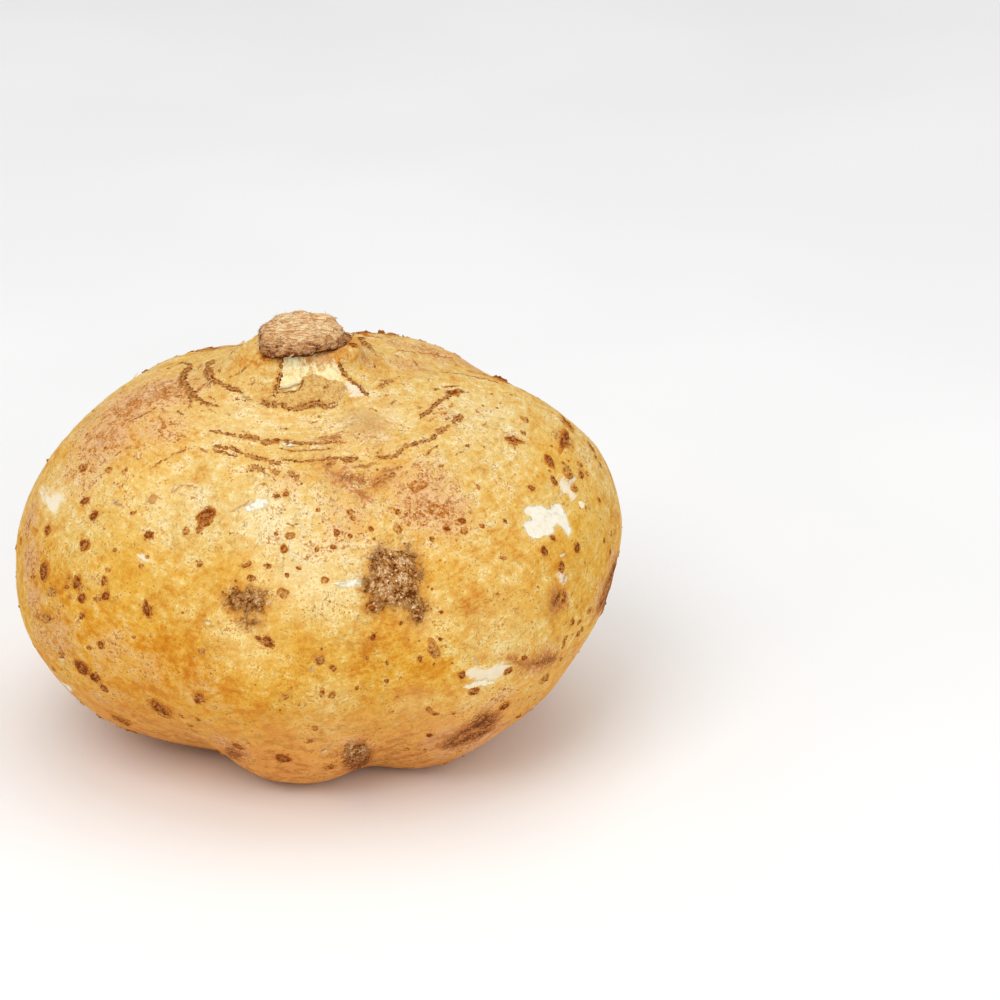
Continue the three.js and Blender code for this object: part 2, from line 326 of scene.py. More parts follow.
def patch_depth(outlines, blobs):
    """How far each skin point lies inside patches, in mm: outlines in pixels, blobs as place and radius."""
    depth = np.full(len(at), -EDGE_LIMIT)
    for outline in outlines:
        corners = [on_skin(*corner) for corner in outline]
        middle = sum((place for place, _ in corners), Vector()) / len(corners)
        out = sum((normal for _, normal in corners), Vector()).normalized()
        side = out.cross(Vector((0, 0, 1))).normalized()
        axes = np.array([side, out.cross(side)]).T
        flat = (np.array([place - middle for place, _ in corners]) @ axes) / MM
        reach = np.abs(flat).max() * 1.5 + EDGE_LIMIT
        near = (np.linalg.norm(at - np.array(middle), axis=1) < reach * MM) & (outward @ np.array(out) > 0.2)
        depth[near] = np.maximum(depth[near], inside_edge(flat, (at[near] - np.array(middle)) @ axes / MM))
    for place, radius in blobs:
        depth = np.maximum(depth, radius - np.linalg.norm(at - place, axis=1) / MM)
    return np.clip(depth, -EDGE_LIMIT, EDGE_LIMIT)


def soft_area(spots):
    """How strongly each skin point is coloured by soft spots, each a place, a radius in mm and a strength."""
    total = np.zeros(len(at))
    for place, radius, strength in spots:
        away = np.linalg.norm(at - np.array(place), axis=1) / MM / radius
        total = np.maximum(total, strength * np.exp(-away ** 2))
    return total


def step(values, low, high):
    """A soft step from 0 at low to 1 at high."""
    share = np.clip((values - low) / (high - low), 0, 1)
    return share * share * (3 - 2 * share)


skin_mesh = rounded_copy(frame["nodes"]["jicama_root"])
at = vectors_of(skin_mesh.vertices, "co")
outward = vectors_of(skin_mesh.vertex_normals, "vector")
smooth_tree = skin_tree = surface_tree(skin_mesh)

to_camera = np.array(camera.location) - at
to_camera /= np.linalg.norm(to_camera, axis=1)[:, None]
from_stem = np.hypot(at[:, 0] - STEM_AXIS.x, at[:, 1] - STEM_AXIS.y) / MM
behind = np.flatnonzero(((outward * to_camera).sum(axis=1) < 0.05) & (at[:, 2] > 3 * MM) & (from_stem > 16))
chance = np.random.default_rng(11)


def hidden_place(low_z=0.0):
    """A random point of the skin that the camera doesn't see, above a height in mm."""
    while True:
        chosen = at[chance.choice(behind)]
        if chosen[2] > low_z * MM:
            return chosen


depths = {}
for kind, outlines in PATCHES.items():
    count, smallest, largest = HIDDEN_PATCHES.get(kind, (0, 0, 0))
    blobs = []
    for _ in range(count):
        middle, size = hidden_place(8), chance.uniform(smallest, largest)
        for _ in range(4):
            blobs.append((middle + chance.normal(0, 0.55, 3) * size * MM, chance.uniform(0.35, 0.8) * size))
    depths[kind] = patch_depth(outlines, blobs)

height = at[:, 2] / MM
around = np.arctan2(at[:, 1] - STEM_AXIS.y, at[:, 0] - STEM_AXIS.x)
grit = lumps(1.1, 21) + 0.6 * lumps(0.5, 22)
rise = sum(tall * lumps(size, n) for n, (size, tall) in enumerate(LUMPS))
rings = np.sin(2 * math.pi * (from_stem + 1.5 * lumps(14, 9)) / WRINKLE_GAP)
rise += WRINKLE_HEIGHT * rings * step(height, *SHOULDER) * np.clip(lumps(11, 8) + 0.6, 0, 1)
for kind, (slope_start, slope_end, raised, gritty) in PATCH_RELIEF.items():
    rise += step(depths[kind], slope_start, slope_end) * (raised + gritty * grit)
neck = step(from_stem, 22, 13) * step(height, 76, 82)
rise += neck * NECK_ROUGH * (grit + 0.8 * lumps(2.4, 23))
for angle, high, wide, tall, push in NECK_BULGES:
    turn = np.degrees(np.angle(np.exp(1j * (around - math.radians(angle)))))
    spread = np.exp(-((turn / wide) ** 2) - ((height - high) / tall) ** 2)
    rise += push * spread * step(from_stem, 28, 18)
stub = step(height, 88.2, 89.4) * step(from_stem, 16, 13)
rise = rise * (1 - stub) - STUB_SLIMMED * stub
at = at + outward * (rise * np.clip(height / SETTLING, 0, 1) * MM)[:, None]
at[:, 2] = np.maximum(at[:, 2], 0)
skin_mesh.vertices.foreach_set("co", at.ravel())
skin_mesh.update()
skin_tree = surface_tree(skin_mesh)
skin = piece("jicama_skin", skin_mesh)

# What its material reads: patches, soft areas, the way the slope runs, and dark bark under the stem's end.
give(skin_mesh, **depths)
for kind, seen in SOFT_AREAS.items():
    count, smallest, largest = HIDDEN_AREAS[kind]
    spots = [(on_skin(px, py)[0], radius, strength) for px, py, radius, strength in seen]
    for _ in range(count):
        spots.append((hidden_place(), chance.uniform(smallest, largest), chance.uniform(0.5, 1.1)))
    give(skin_mesh, **{kind: soft_area(spots)})
girth = np.minimum(from_stem, WIDEST_GRAIN)
down = np.hypot(from_stem, CROWN_HEIGHT - height)
bleeding = np.exp(-(((np.degrees(around) + 52 + 180) % 360 - 180) / 34) ** 2) * 0.9 + 0.35
give(skin_mesh, flow=np.stack([np.cos(around) * girth, np.sin(around) * girth, down], 1) * MM,
     rim=step(height, 83.6, 88.4) * step(from_stem, 16, 13) * bleeding)


class Wire:
    """An output that sums can be written with: each operator adds a Math node to its tree."""

    def __init__(self, owner, socket):
        self.owner = owner
        self.socket = socket

    def maths(self, operation, *values):
        return self.owner.node("ShaderNodeMath", {"operation": operation}, dict(enumerate(values)))

    def __add__(self, other):
        return self.maths("ADD", self, other)

    def __radd__(self, other):
        return self.maths("ADD", other, self)

    def __sub__(self, other):
        return self.maths("SUBTRACT", self, other)

    def __rsub__(self, other):
        return self.maths("SUBTRACT", other, self)

    def __mul__(self, other):
        return self.maths("MULTIPLY", self, other)

    def __rmul__(self, other):
        return self.maths("MULTIPLY", other, self)

    def __abs__(self):
        return self.maths("ABSOLUTE", self)

    def most(self, other):
        return self.maths("MAXIMUM", self, other)

    def ranged(self, low, high, to_low=0.0, to_high=1.0, kind="LINEAR"):
        values = {"Value": self, "From Min": low, "From Max": high, "To Min": to_low, "To Max": to_high}
        return self.owner.node("ShaderNodeMapRange", {"interpolation_type": kind}, values)

    def between(self, low, high):
        """0 below low, 1 above high and a soft step between, or the other way round if low is above high."""
        turned = low > high
        return self.ranged(min(low, high), max(low, high), float(turned), float(not turned), "SMOOTHSTEP")


class NodeTree:
    """A node tree being made. Each node comes from node(), which takes its settings, then its sockets."""

    def node(self, kind, settings=None, sockets=None, out=0):
        made = self.tree.nodes.new(kind)
        for name, value in (settings or {}).items():
            setattr(made, name, value)
        for name, value in (sockets or {}).items():
            if isinstance(value, Wire):
                self.tree.links.new(value.socket, made.inputs[name])
            else:
                made.inputs[name].default_value = value
        return Wire(self, made.outputs[out]) if made.outputs else None


def paint(color):
    """A colour as the shader takes it, from one that a paint chart gives, 0 to 255."""
    if isinstance(color, Wire):
        return color
    shares = [value / 255 for value in color]
    return (*(v / 12.92 if v <= 0.04045 else ((v + 0.055) / 1.055) ** 2.4 for v in shares), 1.0)


class Finish(NodeTree):
    """A material being made, with the colour it has so far."""

    def __init__(self, name):
        self.material = bpy.data.materials.new(name)
        self.material.use_nodes = True
        self.tree = self.material.node_tree
        self.tree.nodes.clear()
        self.color = None

    def place(self):
        return self.node("ShaderNodeTexCoord", out="Object")

    def height(self):
        return self.node("ShaderNodeSeparateXYZ", {}, {"Vector": self.place()}, out="Z")

    def mark(self, name, out="Fac"):
        return self.node("ShaderNodeAttribute", {"attribute_name": name}, out=out)

    def grain(self, size, detail=4.0, roughness=0.55, place=None, stretch=None, warp=0.0, shift=0.0):
        """Noise with features of a given size in mm, stretched by three factors if they are given."""
        place = place or self.place()
        if stretch or shift:
            values = {"Vector": place, "Scale": stretch or (1, 1, 1), "Location": (shift, shift, shift)}
            place = self.node("ShaderNodeMapping", {}, values, out="Vector")
        values = {"Vector": place, "Scale": 1 / (size * MM), "Detail": detail, "Roughness": roughness}
        return self.node("ShaderNodeTexNoise", {}, {**values, "Distortion": warp})

    def specks(self, gap, largest, share):
        """Round specks of random sizes in a random share of cells a gap apart, 1 in their middle."""
        values = {"Vector": self.place(), "Scale": 1 / (gap * MM)}
        away = self.node("ShaderNodeTexVoronoi", {}, values, out="Distance")
        color = self.node("ShaderNodeTexVoronoi", {}, values, out="Color")
        draw = self.node("ShaderNodeSeparateColor", {}, {"Color": color}, out="Red")
        size = self.node("ShaderNodeSeparateColor", {}, {"Color": color}, out="Green")
        radius = (size * 0.75 + 0.25) * (largest / gap / 2)
        return (radius - away).between(-0.02, 0.05) * draw.between(1 - share, 1 - share + 0.01)

    def mix(self, amount, first, second, blend="MIX"):
        """Two colours mixed."""
        values = {0: amount, 6: paint(first), 7: paint(second)}
        return self.node("ShaderNodeMix", {"data_type": "RGBA", "blend_type": blend}, values, out=2)

    def coat(self, amount, color, blend="MIX"):
        """Lays more colour over what is there."""
        self.color = self.mix(amount, self.color, color, blend)

    def bump(self, height, distance, strength=1.0):
        values = {"Height": height, "Distance": distance * MM, "Strength": strength}
        return self.node("ShaderNodeBump", {}, values, out="Normal")

    def done(self, roughness, normal=None, gloss=0.02):
        """The finished material."""
        sockets = {"Base Color": self.color, "Roughness": roughness, "Specular IOR Level": gloss}
        sockets |= {"Normal": normal} if normal else {}
        shader = self.node("ShaderNodeBsdfPrincipled", {}, sockets)
        self.node("ShaderNodeOutputMaterial", {}, {"Surface": shader})
        return self.material


def skin_finish():
    """Thin dry skin: creamy on the crown and deep gold below, partly painted light and shade, mottled,
    freckled, scratched and patchy.
    """
    finish = Finish("dry_skin")
    mark, grain, mix, coat = finish.mark, finish.grain, finish.mix, finish.coat
    flow = mark("flow", out="Vector")
    height = finish.height() * (1 / MM)
    broad = grain(17, detail=3, roughness=0.6)
    clouds = grain(6.0, detail=8, roughness=0.78, warp=0.15)
    patches = grain(2.4, detail=6, roughness=0.76, warp=0.2, shift=0.21)
    wander = grain(1.3, detail=6, roughness=0.76, shift=0.11)
    fine = grain(0.5, detail=5, roughness=0.78)
    speckle = grain(0.26, detail=3, roughness=0.75, shift=0.07)
    streaks = grain(0.85, detail=5, roughness=0.72, place=flow, stretch=(0.2, 0.2, 1.0), warp=0.2)
    drips = grain(0.8, detail=5, roughness=0.7, place=flow, stretch=(1.0, 1.0, 0.18))
    crumbly = grain(0.9, detail=5, roughness=0.75, warp=0.3, shift=0.17)

    # The mottled ground, from cream on the crown to gold and rusty brown low down, partly painted light and
    # shade.
    # On top of the skin's own change of colour, the crown is painted paler as if lit and the lower body
    # deeper gold as if shaded.
    ripe_and_shaded = (height + (broad - 0.5) * 60).between(82, 34)
    tone = (broad - 0.5) * 0.6 + (clouds - 0.5) * 2.8 + (patches - 0.5) * 2.0 + (streaks - 0.5) * 1.4
    tone = tone + (wander - 0.5) * 1.4 + (fine - 0.5) * 0.9
    # The rusty areas deepen the ground, partly as painted shade.
    tone = tone + mark("cream") * 0.42 - mark("gold") * 0.12 - mark("rust_and_shade") * 0.36
    finish.color = mix(ripe_and_shaded, (240, 205, 124), (237, 181, 68))
    coat(tone.between(0.0, 0.42), mix(ripe_and_shaded, (253, 236, 184), (251, 222, 136)))
    coat(tone.between(0.02, -0.42), mix(ripe_and_shaded, (231, 176, 88), (222, 146, 38)))
    coat(tone.between(-0.36, -0.75) * 0.8, (202, 118, 32))
    coat(mark("cream") * 0.4, (251, 230, 184))
    coat(mark("gold") * 0.45, (244, 194, 66))
    # Painted light: the lowest part of the body is painted paler and pinker, for the light that the pale
    # table throws back up onto it.
    coat(height.between(38, 4) * 0.65, (241, 174, 108))
    stained = streaks * 0.5 + wander * 0.3 + patches * 0.2 + height.between(40, 4) * 0.04
    coat(stained.between(0.50, 0.60) * height.between(40, 12) * 0.6, (186, 92, 20))
    shade = (wander - 0.5) * 0.8 + (fine - 0.5) * 1.2 + (speckle - 0.5) * 0.8 + (streaks - 0.5) * 0.6
    coat(shade.between(0.02, 0.34) * 0.6, (214, 192, 150), "MULTIPLY")

    # Rosy and grey patches, fine dots and scratches; the rosy ones along the outline are partly painted
    # sheen.
    blotches = (streaks * 1.4 + patches + wander + fine * 0.6) * 0.25
    blush_and_sheen = mark("blush_and_sheen") * 0.24 + (clouds - 0.5) * 0.40
    rosy = mix(fine.between(0.40, 0.60), (232, 186, 150), (250, 222, 190))
    coat((blotches + blush_and_sheen).between(0.55, 0.80) * 0.8, rosy)
    darker = streaks * 0.3 + wander * 0.4 + fine * 0.3 + blush_and_sheen * 0.6
    coat(darker.between(0.60, 0.70) * 0.75, (178, 104, 62))
    grey = (mark("grey") + (wander - 0.5) * 1.3 + (fine - 0.5) * 0.8).between(0.2, 0.8)
    coat(grey * 0.7, mix(fine.between(0.4, 0.6), (190, 140, 86), (228, 188, 130)))
    dotted = fine * 0.6 + wander * 0.3 + speckle * 0.1 + (clouds - 0.5) * 0.45 + mark("blush_and_sheen") * 0.06
    coat(dotted.between(0.525, 0.595) * 0.7, (226, 154, 42))
    coat(dotted.between(0.575, 0.65) * 0.8, (158, 74, 18))
    contour = abs(grain(3.4, detail=4, roughness=0.6, warp=1.2, shift=0.31) - 0.5)
    scratches = contour.between(0.012, 0.002) * broad.between(0.42, 0.58) * wander.between(0.38, 0.55)
    coat(scratches * 0.6, (152, 70, 18))

    # Freckles, and the stain round the lenticels and ridges.
    dots = finish.specks(0.8, 0.36, 0.6) * patches.between(0.42, 0.55)
    freckles = finish.specks(1.5, 0.46, 0.45) * clouds.between(0.44, 0.56)
    spots = finish.specks(3.6, 0.95, 0.40)
    blurs = finish.specks(1.5, 0.80, 0.45) * clouds.between(0.44, 0.56)
    coat(blurs.most(dots) * 0.7, (216, 140, 36))
    coat(dots * 0.45, (172, 86, 24))
    coat(freckles.most(spots) * 0.85, mix(speckle.between(0.4, 0.6), (116, 48, 14), (176, 90, 32)))
    halo = (mark("halo") + (wander - 0.5) * 1.0 + (fine - 0.5) * 0.8).between(0.28, 0.95)
    coat(halo * 0.7, (200, 118, 40))
    scraps = mark("halo") + (wander - 0.5) * 1.8 + (fine - 0.5) * 1.8
    coat(scraps.between(0.56, 0.78) * 0.8, (146, 68, 20))

    # Smears, scabs and the apron of bark.
    smear = mark("smear") + (wander - 0.5) * 9.0 + (streaks - 0.5) * 7.0 + (fine - 0.5) * 9.0
    coat(smear.between(-2.4, 0.6) * 0.5, (206, 134, 72))
    smear = smear.between(-0.2, 0.5)
    grimy = streaks * 0.35 + wander * 0.25 + fine * 0.4
    coat(smear * 0.9, mix(grimy.between(0.465, 0.54), (84, 32, 10), (206, 132, 72)))
    scab = mark("scab") + (wander - 0.5) * 6.5 + (fine - 0.5) * 4.0
    coat(scab.between(-2.4, 0.2) * 0.65, (190, 108, 36))
    scab = scab.between(-0.2, 0.7)
    clods = grain(2.2, detail=4, roughness=0.65, shift=0.4) * 0.7 + crumbly * 1.2 - 0.45
    crust = mix(clods.between(0.38, 0.50), (90, 34, 10), (188, 130, 70))
    crust = mix(clods.between(0.54, 0.66), crust, (234, 204, 160))
    coat(scab * 0.9, mix(height.between(16, 8) * 0.7, crust, (134, 62, 26)))
    apron = (mark("apron") + (wander - 0.5) * 1.6 + (fine - 0.5) * 0.6).between(-0.25, 0.35)
    bark = mix(wander.between(0.38, 0.58), (206, 152, 80), (240, 198, 122))
    coat(apron * 0.85, mix((speckle * 0.5 + fine * 0.5).between(0.50, 0.60) * 0.8, bark, (146, 78, 28)))

    # The peeled strip, the dark bark under the stem's end, and the scuffed and torn patches.
    peeled = (mark("peeled") + (wander - 0.5) * 0.9).between(-0.1, 0.25)
    # Painted light: the peeled strip is painted a little paler than it is, making up for the shade that the
    # stem's end casts over it.
    bare_and_lit = mix(drips.between(0.46, 0.64), (255, 242, 190), (250, 218, 138))
    coat(peeled, mix(fine.between(0.57, 0.66) * 0.35, bare_and_lit, (222, 160, 78)))
    rim = (mark("rim") + (wander - 0.5) * 1.2 + (drips - 0.5) * 2.4).between(0.36, 1.1)
    coat(rim * 0.8, mix(fine.between(0.38, 0.58), (166, 84, 26), (230, 152, 58)))
    scuffed = (mark("scuffed") + (streaks - 0.5) * 5.0 + (fine - 0.5) * 2.6).between(-0.5, 0.6)
    coat(scuffed * 0.85, (253, 240, 212))
    torn = mark("torn") + (wander - 0.5) * 3.0 + (fine - 0.5) * 1.8
    coat(torn.between(-0.8, 0.0) * 0.5, (252, 222, 140))
    torn = torn.between(-0.12, 0.16)
    coat(torn, mix(wander.between(0.50, 0.64) * 0.6, (254, 247, 228), (250, 230, 176)))

    rough = speckle * 0.2 + fine * 0.6 + wander * 0.9 + patches * 1.1 + spots * 0.3 - scratches * 0.3
    dull = finish.node("ShaderNodeMix", {}, {0: scab.most(smear).most(apron), 2: 0.5, 3: 0.8})
    return finish.done(dull, finish.bump(rough + scab * crumbly * 1.6 - torn * 0.6, 0.20, 0.9))


skin_mesh.materials.clear()
skin_mesh.materials.append(skin_finish())
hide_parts("jicama_root")
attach(skin, "root")


# ---- The stem's cut end ----
# The vine was cut through just above the root. The end has dried to a rough dome of pale woody fibres,
# with a ragged dark rim of bark that hangs a little over the neck. It grows out of the skin's stub.
STEM_HEART = STEM_AXIS + Vector((0, 0, 85.5)) * MM  # the dome is shaped round this point
RIM_EDGE = {-178: 91.4, -166: 91.6, -155: 91.2, -143: 90.0, -132: 88.9, -110: 89.3, -90: 89.6, -60: 90.1,
            -45: 90.0, -30: 89.2, -15: 88.4, 5: 88.9, 50: 89.4, 90: 88.9, 140: 89.6, 165: 90.6}
# direction and height of its lower edge, mm
RIM_REACH = {-175: -0.9, -157: -0.8, -142: -0.3, -128: 0.5, -110: 0.5, -90: 0.3, -60: 0.1, -30: 0.7, -8: 1.9,
             15: 1.2, 45: 0.3, 90: 0.0, 160: -0.5}  # direction and how far the edge stands out, mm
RIM_RAGGED = 0.30  # how far the edge goes up and down besides, mm
DOME_ROWS, DOME_COLUMNS = 58, 216
RIM_ROWS = 9  # the last rows turn in under the rim
DOME_SKIN, FIBRE_RELIEF, RIM_OVERHANG = 0.10, 0.34, 0.38  # mm
RIM_SUNK, RIM_TUCKED = 0.5, 0.55  # how far the edge goes into the neck and down, mm
FIBRE_SEED = 3  # noise_vector starts from the clock unless it is given a seed


def compass(angle):
    """A flat direction at an angle from +X."""
    return Vector((math.cos(angle), math.sin(angle), 0))


def disc_faces(rings, columns):
    """The faces of a disc of rings of vertices round vertex 0, as seen from above."""
    faces = [(0, 1 + n, 1 + (n + 1) % columns) for n in range(columns)]
    for ring in range(rings - 1):
        for n in range(columns):
            a, b = 1 + ring * columns + n, 1 + ring * columns + (n + 1) % columns
            faces.append((a, a + columns, b + columns, b))
    return faces


def smooth_mesh(name, places, faces):
    """A mesh of these places and faces, smoothly shaded."""
    mesh = bpy.data.meshes.new(name)
    mesh.from_pydata(places, [], faces)
    mesh.polygons.foreach_set("use_smooth", [True] * len(faces))
    return mesh


def by_direction(table, angle):
    """The value that a table of directions in degrees has at an angle."""
    return np.interp(math.degrees(angle), list(table), list(table.values()), period=360)


def fibrous(spot):
    """The relief of the matted fibres at a place in mm, most of them lying along X."""
    strand = spot + (Vector((0, 1.6 * noise.noise(spot / 7), 0)) + noise.noise_vector(spot / 2.5) * 0.5)
    coarse = noise.noise(Vector((strand.x / 4.2, strand.y / 0.62, strand.z / 0.62)))
    fine = noise.noise(Vector((strand.x / 2.4, strand.y / 0.3, strand.z / 0.3)) + Vector((7, 0, 0)))
    return coarse + 0.6 * fine


def stem_dome():
    """The dome as a closed cap of rings of vertices, its edge sunk into the neck."""
    rays = [(Vector((0, 0, 1)), 0, 0)]
    for row in range(1, DOME_ROWS + 1):
        share = min(row / (DOME_ROWS - RIM_ROWS), 1)
        turn_in = max(0, row - (DOME_ROWS - RIM_ROWS)) / RIM_ROWS
        for column in range(DOME_COLUMNS):
            angle = 2 * math.pi * column / DOME_COLUMNS
            way = compass(angle)
            ragged = noise.noise(way * 2.6) * 1.5 + noise.noise(way * 9) + 0.5 * noise.noise(way * 24)
            edge = by_direction(RIM_EDGE, angle) + (RIM_RAGGED * ragged - STEM_HEART.z / MM)
            climb = math.pi / 2 + (math.atan2(edge, 10) - math.pi / 2) * share ** 0.9
            rays.append((way * math.cos(climb) + Vector((0, 0, math.sin(climb))), share, turn_in))
    places = []
    for ray, share, turn_in in rays:
        place, out = smooth_tree.ray_cast(STEM_HEART + ray * 40 * MM, -ray)[:2]
        spot = place / MM
        rough = noise.noise(spot / 1.1) + 0.6 * noise.noise(spot / 0.5)
        near_rim = max(0, (share - 0.72) / 0.28)
        side = (place - STEM_HEART).normalized()
        to_front = min(max(0.35 - 0.9 * side.y, 0), 1)
        lift = DOME_SKIN - 0.5 * max(side.x, 0) + FIBRE_RELIEF * fibrous(spot) * (1 - 0.5 * near_rim)
        lift += 0.3 * near_rim * rough + 0.5 * noise.noise(spot / 3.4)
        lift += by_direction(RIM_REACH, math.atan2(side.y, side.x)) * near_rim ** 2
        lift += RIM_OVERHANG * to_front * near_rim ** 1.5 * (0.8 + 0.5 * noise.noise(spot / 2.0))
        lift = max(lift, -0.9) * (1 - turn_in) ** 0.5 - RIM_SUNK * turn_in
        drop = Vector((0, 0, -RIM_TUCKED * math.sin(math.pi * turn_in)))
        places.append(place + (out * lift + drop) * MM)
    mesh = smooth_mesh("stem_end", places, disc_faces(DOME_ROWS, DOME_COLUMNS))
    give(mesh, rim=[share + turn_in for _, share, turn_in in rays])
    return mesh


def stem_finish():
    """Dry wood fibres, pale on top, with grimy dark bark towards the rim."""
    finish = Finish("cut_stem")
    coat = finish.coat
    strands = finish.grain(0.8, detail=5, roughness=0.68, stretch=(0.2, 1, 1), warp=0.6)
    fine = finish.grain(0.32, detail=4, roughness=0.72, stretch=(0.25, 1, 1), warp=0.4, shift=0.05)
    spots = finish.grain(1.6, detail=4, roughness=0.7, shift=0.09)
    finish.color = finish.mix(strands.between(0.38, 0.58), (208, 146, 82), (254, 226, 174))
    coat(fine.between(0.53, 0.62) * 0.65, (162, 92, 40))
    coat(fine.between(0.46, 0.34) * 0.8, (255, 242, 210))
    coat(spots.between(0.52, 0.64) * 0.55, (206, 132, 64))
    edge = finish.mark("rim") + (spots - 0.5) * 1.0 + (strands - 0.5) * 0.6
    coat(edge.between(0.50, 0.95) * 0.45, (194, 126, 62))
    coat(edge.between(0.72, 1.0) * 0.85, finish.mix(fine.between(0.40, 0.58), (104, 50, 22), (196, 134, 82)))
    coat(edge.between(0.90, 1.14), (82, 34, 12))
    return finish.done(0.85, finish.bump(strands + fine * 0.7, 0.28))


noise.seed_set(FIBRE_SEED)
stem_material = stem_finish()
stem_end = piece("stem_end", stem_dome())
stem_end.data.materials.append(stem_material)
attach(stem_end, "root")


# ---- The stem's loose fibres ----
# Torn wood fibres and shreds of bark that lie over the cut end and stick out round its rim. They are
# part of the dried stem, thin as thread, and each is a tapered strip laid on the dome.
FIBRES_ON_TOP, FIBRES_AT_RIM = 460, 260
FIBRE_LENGTH = (1.2, 3.6)  # mm
FIBRE_WIDTH = (0.12, 0.32)  # mm
STRIP_WIDTH = 0.28  # of the shape that is stretched to a fibre
TOP_TONES, RIM_TONES = [0.0, 0.0, 0.15, 0.3, 0.55, 0.85], [0.05, 0.3, 0.9]  # 0 is pale and 1 dark


class Growth(NodeTree):
    """A Geometry Nodes tree being made, with the named inputs that its modifier shows."""

    def __init__(self, name, **inputs):
        self.tree = bpy.data.node_groups.new(name, "GeometryNodeTree")
        face = self.tree.interface
        face.new_socket("Geometry", in_out="OUTPUT", socket_type="NodeSocketGeometry")
        for label, kind in {"Geometry": "Geometry", **inputs}.items():
            face.new_socket(label, in_out="INPUT", socket_type="NodeSocket" + kind)
        self.start = self.tree.nodes.new("NodeGroupInput")

    def given(self, label):
        return Wire(self, self.start.outputs[label])

    def stored(self, name, kind="FLOAT"):
        return self.node("GeometryNodeInputNamedAttribute", {"data_type": kind}, {"Name": name})

    def random(self, seed):
        return self.node("FunctionNodeRandomValue", {"data_type": "FLOAT"}, {"Seed": seed}, out=1)

    def shapes_on(self, **sockets):
        """Puts one of the given shapes on each point, and ends the tree."""
        choice = {"Collection": self.given("Shapes"), "Separate Children": True, "Reset Children": True}
        shapes = self.node("GeometryNodeCollectionInfo", {}, choice)
        sockets = {name.replace("_", " "): value for name, value in sockets.items()}
        sockets |= {"Instance": shapes, "Pick Instance": True}
        return self.ended(self.node("GeometryNodeInstanceOnPoints", {}, sockets))

    def ended(self, geometry):
        """Makes the result real, gives it its finish and ends the tree."""
        real = self.node("GeometryNodeRealizeInstances", {}, {"Geometry": geometry})
        look = {"Geometry": real, "Material": self.given("Finish")}
        self.node("NodeGroupOutput", {}, {0: self.node("GeometryNodeSetMaterial", {}, look)})
        return self

    def grown_on(self, name, mesh, shapes=(), smooth=True, **values):
        """The plain piece that the tree makes from a mesh, with these shapes and values of its inputs."""
        values["Shapes"] = box = bpy.data.collections.new("shapes")
        bpy.context.scene.collection.children.link(box)
        for number, shape in enumerate(shapes):
            box.objects.link(bpy.data.objects.new(f"shape_{number:02d}", shape))
        seed = piece("seed", mesh)
        growing = seed.modifiers.new("growth", "NODES")
        growing.node_group = self.tree
        for item in self.tree.interface.items_tree:
            if item.in_out == "INPUT" and item.name in values:
                growing[item.identifier] = values[item.name]
        grown = piece(name, plain_mesh(seed))
        for thing in [seed, *box.objects]:
            bpy.data.objects.remove(thing)
        bpy.data.collections.remove(box)
        grown.data.polygons.foreach_set("use_smooth", [smooth] * len(grown.data.polygons))
        return grown


def laying_tree():
    """Lays shapes on marked places: X along the mark, Y across it and Z out of the surface."""
    tree = Growth("laid_on_the_surface", Shapes="Collection", Finish="Material")
    out, along = tree.stored("out", "FLOAT_VECTOR"), tree.stored("along", "FLOAT_VECTOR")
    sides = {"Primary Axis": out, "Secondary Axis": along}
    turn = tree.node("FunctionNodeAxesToRotation", {"primary_axis": "Z", "secondary_axis": "X"}, sides)
    return tree.shapes_on(Points=tree.given("Geometry"), Instance_Index=tree.stored("shape", "INT"),
                          Rotation=turn, Scale=tree.stored("size", "FLOAT_VECTOR"))


laying = laying_tree()


def laid_out(name, marks, shapes, material):
    """A piece of shapes laid on marks. A mark is its place, way out, way along, size and tone."""
    places, out, along, size, tone = zip(*marks)
    seeds = bpy.data.meshes.new(name + "_places")
    seeds.from_pydata(places, [], [])
    give(seeds, out=out, along=along, size=size, tone=tone, shape=chance.integers(0, len(shapes), len(marks)))
    return laying.grown_on(name, seeds, shapes, Finish=material)


def closed_mesh(name, places, faces):
    """A mesh whose faces are all turned outwards."""
    mesh = smooth_mesh(name, places, faces)
    work = bmesh.new()
    work.from_mesh(mesh)
    bmesh.ops.recalc_face_normals(work, faces=work.faces)
    work.to_mesh(mesh)
    work.free()
    return mesh


def strip_shape(seed):
    """A tapered strip of one unit length, bent up a little, with a three-sided section."""
    steps = 5
    bent = np.random.default_rng(seed)
    sideways, arch = bent.uniform(-0.12, 0.12), bent.uniform(0.0, 0.06)
    places, faces = [], []
    for n in range(steps):
        share = n / (steps - 1)
        bow = math.sin(math.pi * share)
        wide = 0.5 * (1 - (2 * share - 1) ** 4) + 0.06
        y = sideways * bow + bent.uniform(-0.02, 0.02)
        z = arch * bow + bent.uniform(0, 0.02)
        half = wide * STRIP_WIDTH / 2
        places += [(share - 0.5, y - half, z), (share - 0.5, y, z + 0.16 * wide), (share - 0.5, y + half, z)]
    for a in range(3 * steps - 3):
        b = a + 1 if a % 3 < 2 else a - 2
        faces.append((a, b, b + 3, a + 3))
    faces += [(2, 1, 0), tuple(range(3 * steps - 3, 3 * steps))]
    return closed_mesh("strip", places, faces)


